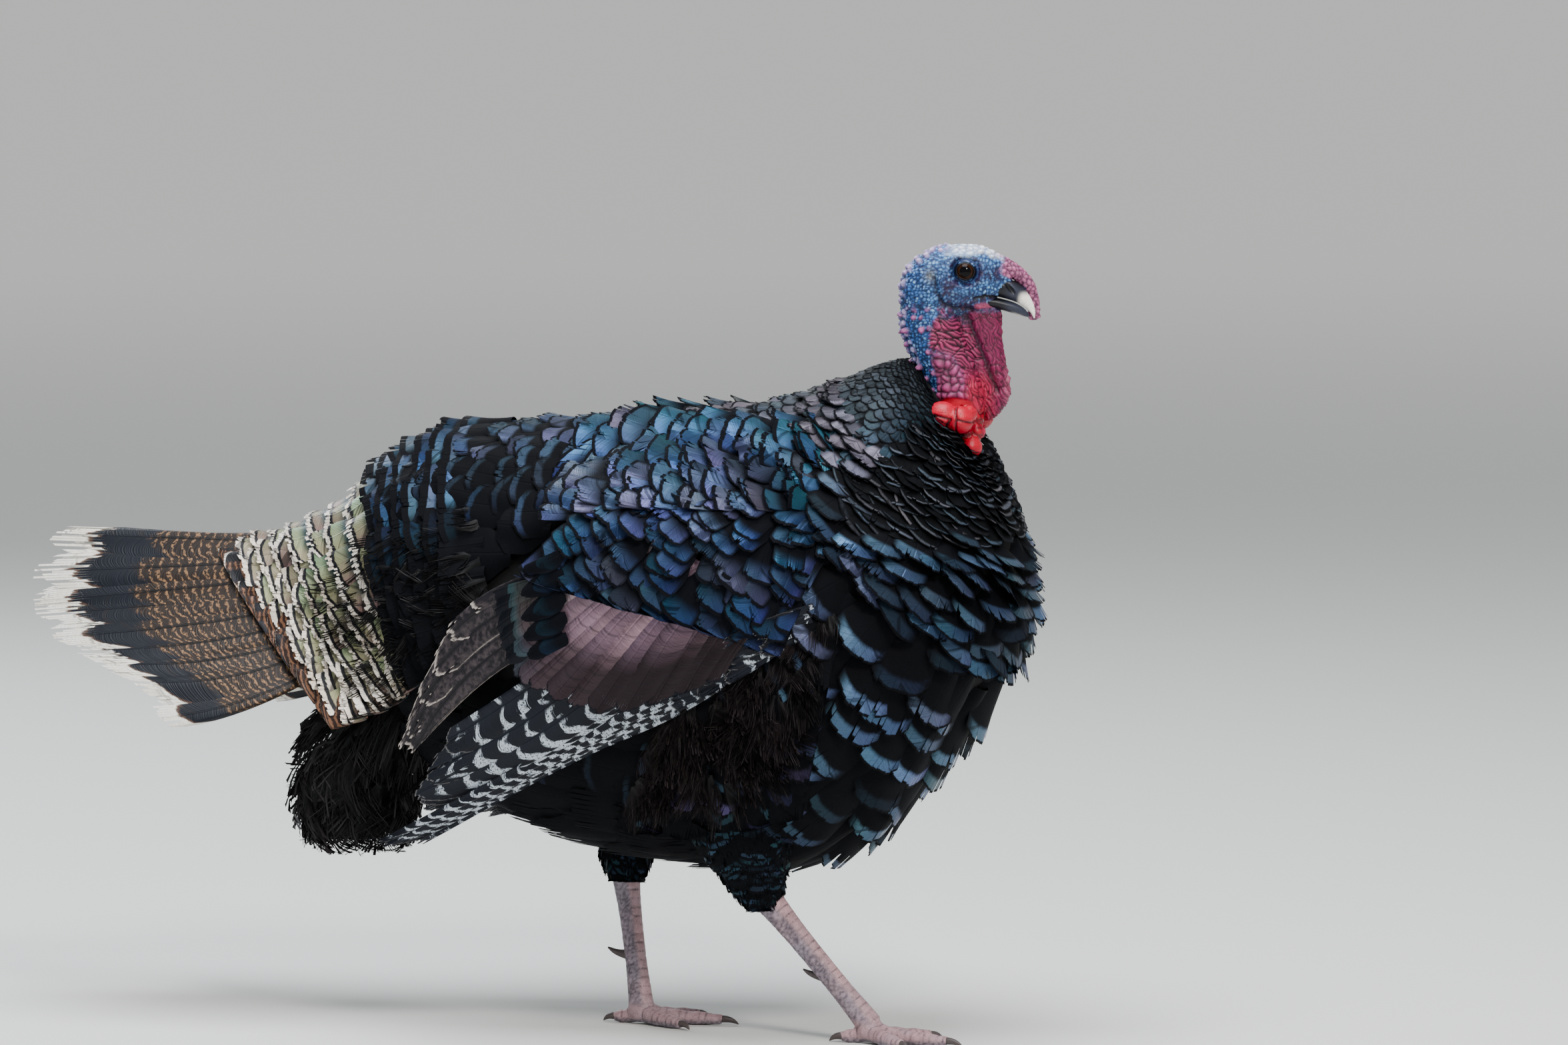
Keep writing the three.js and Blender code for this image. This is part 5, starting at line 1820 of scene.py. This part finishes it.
# %% Flight feathers
def wing_feathers(side):
    """Primaries, wrist coverts, secondaries and tertials of one side."""
    tracts = {
        "primary": big_row(
            side_sheet(PRIMARIES, side), np.linspace(0.95, 0.12, 8),
            np.linspace(0.86, 0.99, 8), 0.02, LONG,
                rise=np.linspace(-0.008, 0.001, 8), lift=0.0, blunt=0.05,
                square=2.0, narrow=0.6, taper=0.35, spin=0.004, fringe=0.02,
                cup=-0.001, gap=0.05, pinch=0.03),
        "secondary": big_row(
            side_sheet(SECONDARIES, side), np.array([0.97, 0.9, 0.82, 0.73, 0.62, 0.4, 0.1]),
            np.array([0.9, 0.97, 0.99, 0.99, 0.98, 0.93, 0.84]),
            np.array([26, 30, 32, 36, 42, 46, 48]) * MM, BIG,
                rise=np.linspace(-0.002, 0.005, 7), lift=0.001, blunt=0.15,
                square=2.2, narrow=0.7, spin=0.006, fringe=0.02, cup=-0.0025,
                gap=0.04, pinch=0.03)}
    places = staggered([0.02, 0.2, 0.38, 0.56], 4, 0.05)
    vanes = grow(side_sheet(WRIST_COVERTS, side), places, 0.052, 0.017, WIDE,
        rise=0.003, lift=0.003, blunt=0.2, square=2.2, cup=-0.001,
        pinch=0.05)
    tracts["wrist"] = vanes, places
    tracts["tertial"] = big_row(
        side_sheet(TERTIALS, side), np.linspace(0.94, 0.08, 8),
        np.array([0.9, 0.97, 0.99, 0.93, 0.82, 0.71, 0.6, 0.48]), 0.036, BIG,
            rise=np.linspace(0.0, 0.008, 8), lift=0.001, blunt=0.18,
            square=2.1, narrow=0.7, spin=0.03, fringe=0.04, cup=-0.004,
            gap=0.12, pinch=0.06)
    return tracts


SIDES = (-1, 1)
wings = {side: wing_feathers(side) for side in SIDES}


def flight_piece(name, kinds, material, nodes=()):
    """One or more kinds of flight feather on both sides."""
    coat_piece(name, [(*wings[side][kind], ONE, NONE) for side in SIDES for kind in kinds],
               material, nodes)


flight_piece("primaries", ["primary", "wrist"], PRIMARY, ("flight_right", "flight_left"))
flight_piece("secondaries", ["secondary"], SECONDARY)
flight_piece("tertials", ["tertial"], TERTIAL)


# %% Great and lesser coverts
def great_coverts(side):
    """The copper panel: long smooth webs side by side."""
    count = 15
    vanes, places = big_row(
        side_sheet(GREAT_COVERTS, side, 0.002), np.linspace(0.985, 0.015, count),
        np.full(count, 0.985), 0.038, BIG,
            rise=np.linspace(0.0, 0.006, count), lift=0.001, blunt=0.16,
            square=2.2, narrow=0.8, spin=0.01, fringe=0.02, cup=-0.0026,
            gap=0.03, pinch=0.03)
    left = 1 - places["q"]
    tint = mixed([(0, 0.08, 0.05, 0.07), (0.35, 0.2, 0.125, 0.165),
                  (0.7, 0.21, 0.135, 0.165), (0.9, 0.095, 0.1, 0.09),
                  (1, 0.05, 0.08, 0.085)], left)
    tint = tint * rng.uniform(0.8, 1.2, (count, 1))
    own = pack(0.8 * smooth(0.5, 0.8, left), 0.75 + smooth(0.75, 0.2, left) * 0.25,
               0.001 + 0.016 * smooth(0.66, 0.74, left))
    return vanes, places, tint, own


coat_piece("great_coverts", [great_coverts(side) for side in SIDES], COPPER)


def lesser_coverts(side):
    """Rows of steel-blue coverts, their tips pointing down and back."""
    surface = side_sheet(LESSER_COVERTS, side, 0.006)
    places = staggered(np.linspace(0.02, 0.9, 9), 10, 0.18)
    length, width = measured(surface, places, 2.5, 1.5)
    vanes = grow(surface, places, length, width, FINE,
        lift=0.008, rise=0.001, blunt=0.1, square=4.0, cup=-0.003,
        fringe=0.03, gap=0.06, pinch=0.02, spin=0.13)
    tint = patched(surface, places, 0.014, 2.0, [
        (0, 0.012, 0.046, 0.08), (0.3, 0.014, 0.038, 0.098), (0.6, 0.03, 0.044, 0.1),
        (0.85, 0.046, 0.046, 0.085), (1, 0.055, 0.056, 0.07)])
    return vanes, places, tint, banded(places, (0.0016, 0.0028), 0.018, (0.6, 1.0))


def black_tips(side):
    """Five short coverts with deep black tips at the rear end of the copper panel."""
    surface = side_sheet([[[100, 448, 191], [104, 362, 193]], [[58, 428, 190], [62, 340, 192]]],
                         side, 0.008)
    vanes, places = big_row(
        surface, np.linspace(0.06, 0.92, 5), np.array([0.86, 0.95, 0.99, 0.96, 0.88]), 0.021,
        BIG, rise=np.linspace(0.003, 0.0, 5), lift=0.002, blunt=0.5, square=2.0,
              narrow=0.45, spin=0.04, fringe=0.03, cup=-0.003, gap=0.04,
              pinch=0.04)
    return vanes, places, np.array([0.01, 0.03, 0.06]), np.array([0.012, 0.02, 0.22])


SHEEN = contour_finish("sheen_feather", (0.0018, 0.0022, 0.004), 0.65, 0.33, drift=0.1,
                       soft=0.9)
coat_piece("lesser_coverts", [tract(side) for side in SIDES
                              for tract in (lesser_coverts, black_tips)], SHEEN)


# %% Scapulars
def scapulars(side):
    """Large shoulder feathers with teal and bronze patches and a thick black edge."""
    surface = side_sheet(SCAPULARS, side, 0.007)
    places = staggered(spaced(0.02, 0.86, 0.05, 0.075), 5, 0.16)
    length, width = measured(surface, places, 2.5, 1.7)
    vanes = grow(surface, places, length, width, FINE,
        lift=0.01, rise=0.002, blunt=0.12, square=3.4, cup=-0.005,
        fringe=0.04, gap=0.15, pinch=0.02, spin=0.09)
    tint = patched(surface, places, 0.017, 4.0, [
        (0, 0.018, 0.062, 0.105), (0.35, 0.024, 0.07, 0.135), (0.6, 0.044, 0.066, 0.12),
        (0.8, 0.072, 0.066, 0.095), (1, 0.078, 0.074, 0.072)])
    return vanes, places, tint, banded(places, (0.002, 0.0034), 0.026, (0.75, 1.0))


coat_piece("scapulars", [scapulars(side) for side in SIDES], SHEEN)

# %% [markdown]
# ## Rump and tail
#
# The rump is a roof: its ridge is the line of the back and its eaves slope forward as they
# go down. Over it lie rows of coverts, each with a white fringe, a black bar and a glossy
# band. The tail itself is a half-opened fan, folded along its middle like a tent.

# %% Rump rows
# ridge x, how far forward the eaves lie, top, bottom, half width
ROOF = [
    [-20, 40, 550, 340, 144], [-62, 48, 541, 326, 138], [-102, 58, 525, 312, 128],
    [-140, 76, 502, 300, 114], [-178, 98, 469, 288, 104], [-214, 120, 449, 280, 104],
    [-246, 138, 438, 274, 107], [-272, 150, 430, 268, 107], [-300, 160, 426, 262, 110],
]


def roof(p, q, sink=0.0):
    """Ridge to eaves, share from -1 to 1: z falls as share**1.15; in front the half width is

    1 - (1 - share)**2.3, round as the trunk, and behind it is share**0.8, steep as a tent.
    """
    x, lean, top, low, wide = np.moveaxis(spline(ROOF, p), -1, 0) * MM
    share = 2 * q - 1
    rounded = np.sqrt(share**2 + 0.012)
    drop = rounded**1.15 - 0.012**0.575
    barrel = np.sign(share) * (1 - (1 - np.minimum(np.abs(share), 1)) ** 2.3)
    tent = share * rounded**-0.2
    blend = smooth(0.45, 0.8, p)
    y = wide * (barrel * (1 - blend) + tent * blend)
    return pack(x + lean * drop, y, top + (low - top) * drop - sink)


def rump_place(p, q):
    """The roof under its feathers."""
    return roof(p, q, 0.004)


SLATS = pattern(5, 18, 0.8)


def rump_tract(low, high, count, cover, shape, **form):
    """Rows over the roof."""
    places = staggered(np.linspace(low, high, count), 16, 0.08)
    length, width = measured(rump_place, places, cover, 1.7)
    return grow(rump_place, places, length, width, shape, **form), places


def rump_rows():
    """Dark-blue louvres at the front of the roof; toward the eaves they lose their bands."""
    vanes, places = rump_tract(0.0, 0.27, 6, 2.3, FINE,
        lift=0.012, hump=1.8, rise=0.001, blunt=0.06, square=4.0,
        cup=-0.003, fringe=0.04, gap=0.1, pinch=0.03, spin=0.07)
    tint = mixed([(0, 0.012, 0.034, 0.08), (0.5, 0.026, 0.06, 0.11),
                  (1, 0.06, 0.09, 0.135)], rng.random(vanes["count"]))
    bands = banded(places, (0.004, 0.006), 0.01, (0.3, 1.0))
    bands[:, 2] *= smooth(0.62, 0.3, np.abs(2 * places["q"] - 1))
    return vanes, places, tint, bands


def covert_rows():
    """Rows with white fringes, down to the root of the tail."""
    return *rump_tract(0.3, 0.755, 7, 2.1, SLATS,
        lift=0.008, hump=1.8, rise=0.002, blunt=0.1, square=3.2,
        cup=-0.004, fringe=0.08, gap=0.2, pinch=0.06, spin=0.08), ONE, NONE


def great_tail_coverts():
    """The last row: broad chestnut feathers with a deep white fringe."""
    places = staggered([0.74, 0.82], 13, 0.07)
    return grow(rump_place, places, 0.075, 0.046, WIDE,
        lift=0.003, rise=0.003, blunt=0.18, square=2.4, cup=-0.003,
        fringe=0.14, gap=0.3, pinch=0.3, narrow=0.6, spin=0.08), places, ONE, NONE


coat_piece("rump_feathers", [rump_rows()], STEEL)
coat_piece("rump_coverts", [covert_rows()], RUMP_COVERT)
coat_piece("tail_covert_row", [great_tail_coverts()], TAIL_COVERT)

# %% Tail
# share of the fan, then x, y, z at root, bend and tip
TAIL = np.array([
    [0, -130, 0, 428, -250, 0, 431, -452, 0, 436],
    [0.12, -130, 6, 420, -250, 16, 416, -470, 20, 410],
    [0.3, -130, 10, 410, -250, 34, 394, -466, 44, 372],
    [0.5, -130, 14, 398, -250, 56, 366, -438, 74, 344],
    [0.7, -130, 20, 384, -240, 78, 338, -386, 98, 326],
    [0.86, -130, 24, 370, -225, 92, 318, -336, 116, 304],
    [1, -130, 30, 352, -210, 106, 296, -300, 134, 264],
])


def tail_place(p, q):
    """Each feather line is a bent curve through root, bend and tip: quadratic Bezier.

    q runs from the lowest feather on the right, over the middle, to the lowest on the left.
    """
    share = 2 * q - 1
    values = np.stack(keyed(TAIL, np.sqrt(share**2 + 0.0004) - 0.02), -1) * MM
    root, bend, tip = values[..., 0:3], values[..., 3:6], values[..., 6:9]
    control = 2 * bend - 0.5 * root - 0.5 * tip
    u = p[..., None]
    point = (1 - u) ** 2 * root + 2 * u * (1 - u) * control + u * u * tip
    return point * pack(1, np.sign(share), 1)


TAIL_HEART = np.array([-0.3, 0.0, 0.25])
QUILL = pattern(18, 22, 0.9, 2)


def tail_feathers():
    """Eighteen main feathers, the middle pair on top."""
    q = np.linspace(0.02, 0.98, 18)
    return *big_row(tail_place, q, np.full(18, 0.99), 0.052, QUILL,
        rise=0.005 - 0.01 * np.abs(2 * q - 1), lift=0.0, blunt=0.12, square=2.2,
        narrow=0.55, spin=0.012, fringe=0.05, cup=-0.003, gap=0.2,
        pinch=0.25, heart=TAIL_HEART), ONE, NONE


coat_piece("tail_feathers", [tail_feathers()], TAIL_WEB,
           ("tail_right", "tail_left"))

# %% [markdown]
# ## Thighs, vent and down
#
# Where feathers lose their hooks the barbs hang loose, like hair. The same vane is used, cut
# into narrow strips almost to its root.

# %% Loose plumage
LOOSE = pattern(3, 20, 0.2, 4)
WISPY = dict(lift=0.012, rise=0.001, blunt=0.3, square=2.0, fringe=0.6, gap=0.3, pinch=0.62,
             spin=0.45, stray=0.8, wave=0.004)


def thigh_coat(name):
    """Black feathers that shrink to tiny scales at the hock."""
    surface = limb_place(THIGH[name], 0.004)
    middle = np.array([THIGH[name][2][1], THIGH[name][2][2], 200]) * MM
    places = staggered(np.linspace(0.02, 0.96, 16), 16, 0.15)
    length, width = measured(surface, places, 3.0, 1.9)
    vanes = grow(surface, places, np.clip(length, 0.01, 0.045), width, PLAIN,
        closed=True, lift=0.005, rise=0.0005, blunt=0.3, square=2.2, fringe=0.15, gap=0.2,
        cup=-0.001, pinch=0.1, heart=middle)
    tint = mixed([(0, 0.015, 0.05, 0.065), (1, 0.03, 0.045, 0.085)], rng.random(len(length)))
    bands = pack(np.full(len(length), 0.002), np.full(len(length), 0.006),
                 rng.uniform(-0.4, 0.9, len(length)).clip(0, 1))
    return vanes, places, tint, bands


coat_piece("thigh_feathers", [thigh_coat("right"), thigh_coat("left")], STEEL)


def vent_coat():
    """Plumes that hang under the tail."""
    places = staggered(np.linspace(0.02, 0.8, 9), 18, 0.3)
    length = rng.uniform(0.045, 0.075, len(places["p"]))
    middle = np.array([-0.14, 0, 0.24])
    return grow(limb_place(VENT, 0.006), places, length, 0.026, LOOSE, closed=True,
                heart=middle, **WISPY), places, ONE, NONE


FLANK = [
    [[345, 405], [265, 350], [180, 300]], [[330, 340], [248, 298], [155, 262]],
    [[312, 275], [232, 245], [135, 225]], [[292, 215], [210, 195], [112, 192]],
]


def flank_feathers(side):
    """Black contour feathers below the wing, a few of them with a violet or blue band."""
    surface = side_sheet(FLANK, side, -0.008)
    places = staggered(np.linspace(0.02, 0.86, 8), 8, 0.2)
    length, width = measured(surface, places, 2.4, 1.7)
    vanes = grow(surface, places, length, width, FINE,
        lift=0.01, rise=0.001, blunt=0.2, square=2.6, cup=-0.004,
        fringe=0.12, gap=0.12, pinch=0.06, spin=0.3, turn=-0.3)
    tint = mixed([(0, 0.026, 0.034, 0.08), (0.5, 0.044, 0.034, 0.08),
                  (1, 0.02, 0.05, 0.07)], rng.random(len(length)))
    bands = banded(places, (0.002, 0.004), 0.01, (-0.9, 1.2))
    bands[:, 2] = (bands[:, 2] * smooth(0.25, 0.5, places["p"])).clip(0, 1)
    return vanes, places, tint, bands


def flank_down(side):
    """Hair-like brown-black down that spills out under the wing."""
    surface = side_sheet(FLANK, side, -0.006)
    places = staggered(np.linspace(0.02, 0.66, 11), 15, 0.45)
    clump = patchy(surface(places["p"], places["q"]), 0.012, 7.0)
    room = smooth(0.02, 0.3, places["q"]) * (0.35 + clump)
    places = keep(places, rng.random(len(room)) < room)
    count = len(places["p"])
    form = dict(rise=0.005, turn=-0.6, curl=0.004, stray=0.3, spin=0.7, pinch=0.8)
    vanes = grow(surface, places, rng.uniform(0.016, 0.034, count), 0.02, LOOSE,
                 **WISPY | form)
    tint = np.array([1.15, 0.95, 0.95]) * rng.uniform(0.3, 1.5, (count, 1))
    return vanes, places, tint, NONE


def rump_down():
    """Loose black feathers on the slopes of the rump, between wing and tail."""
    places = staggered(np.linspace(0.0, 0.56, 9), 22, 0.3)
    places = keep(places, (np.abs(2 * places["q"] - 1) > 0.45) & (places["p"] < 0.6))
    length = rng.uniform(0.025, 0.05, len(places["p"]))
    form = WISPY | dict(pinch=0.8, stray=0.4)
    return grow(rump_place, places, length, 0.026, LOOSE, **form), places, ONE * 0.45, NONE


coat_piece("vent_plumes", [vent_coat()], DOWN)
coat_piece("flank_feathers", [flank_feathers(side) for side in SIDES], STEEL)
coat_piece("flank_down", [flank_down(side) for side in SIDES], DOWN)
coat_piece("rump_down", [rump_down()], DOWN)

# %% [markdown]
# ## Floor, light and camera
#
# Feathers shine only when there is something bright for them to reflect. The floor curves up
# into a pale round wall, and that wall glows a little far from the bird, so that it lights the
# plumage from all sides. A large lamp overhead gives soft shade, a smaller one gives the bands
# their sparkle, and one behind the bird draws its outline. They belong to the view, not to the
# bird.

# %% Floor, light and camera
def pale_finish(name, colour, roughness):
    """A plain matt surface; far from the middle it glows a little, as a lit studio wall does."""
    material, tree = blank(name)
    away = add(tree, "ShaderNodeVectorMath", {0: object_place(tree)}, "Value",
               operation="LENGTH")
    return paint(material, {
        "Base Color": (*colour, 1), "Roughness": roughness, "Emission Strength": 0.42,
        "Emission Color": mix(away.step(3.0, 14.0), (0, 0, 0), colour)})


def studio_floor():
    """A pale floor that curves up into a round wall far behind: radius and height by arc."""
    bend = np.linspace(0, np.pi / 2, 14)[1:]
    radius = np.concatenate([[0.0], np.linspace(0.5, 13, 20), 13 + 4 * np.sin(bend), [17.0]])
    rise = np.concatenate([np.zeros(21), 4 - 4 * np.cos(bend), [11.0]])
    turns = np.linspace(0, 2 * np.pi, 97)[:-1]
    x, y = radius[:, None] * np.cos(turns), radius[:, None] * np.sin(turns)
    points = pack(x, y, rise[:, None]).reshape(-1, 3)
    r, k = np.meshgrid(np.arange(len(radius) - 1), np.arange(96), indexing="ij")
    after = (k + 1) % 96
    faces = pack(r * 96 + k, (r + 1) * 96 + k, (r + 1) * 96 + after, r * 96 + after)
    return mesh_object("studio_floor", points, faces.reshape(-1, 4),
                       pale_finish("studio_pale", (0.66, 0.66, 0.64), 0.9))


def hang(name, data, place, way):
    """Puts a lamp or a camera into the scene, looking the given way."""
    thing = bpy.data.objects.new(name, data)
    bpy.context.scene.collection.objects.link(thing)
    thing.location = place
    thing.rotation_euler = way.to_track_quat("-Z", "Y").to_euler()
    return thing


def lamp(name, place, target, size, power, colour):
    """A square soft light that looks at the target."""
    light = bpy.data.lights.new(name, "AREA")
    light.size, light.energy, light.color = size, power, colour
    hang(name, light, place, Vector(target) - Vector(place))


studio_floor()
lamp("sky_light", (0.2, -0.9, 4.2), (0.1, 0.0, 0.3), 3.0, 330, (0.92, 0.96, 1.0))
lamp("key_light", (2.6, -3.2, 3.4), (0.15, 0.0, 0.35), 1.0, 190, (1.0, 0.96, 0.9))
lamp("rim_light", (-2.6, 2.4, 2.6), (0.0, 0.0, 0.4), 1.6, 90, (0.9, 0.95, 1.0))
world = bpy.data.worlds.new("soft_sky")
world.use_nodes = True
sky = world.node_tree.nodes["Background"].inputs
sky["Color"].default_value, sky["Strength"].default_value = (0.75, 0.82, 0.9, 1), 0.32
bpy.context.scene.world = world

AZIMUTH, ELEVATION = np.radians(18), np.radians(4.5)
AIM = Vector((0.215, 0.0696, 0.452))
DISTANCE = 9.0
away = Vector((np.sin(AZIMUTH) * np.cos(ELEVATION), -np.cos(AZIMUTH) * np.cos(ELEVATION),
               np.sin(ELEVATION)))
lens = bpy.data.cameras.new("camera")
lens.sensor_width, lens.lens, lens.clip_end = 36, 230, 60
bpy.context.scene.camera = hang("camera", lens, AIM + away * DISTANCE, -away)
print("camera at", np.round(AIM + away * DISTANCE, 2))
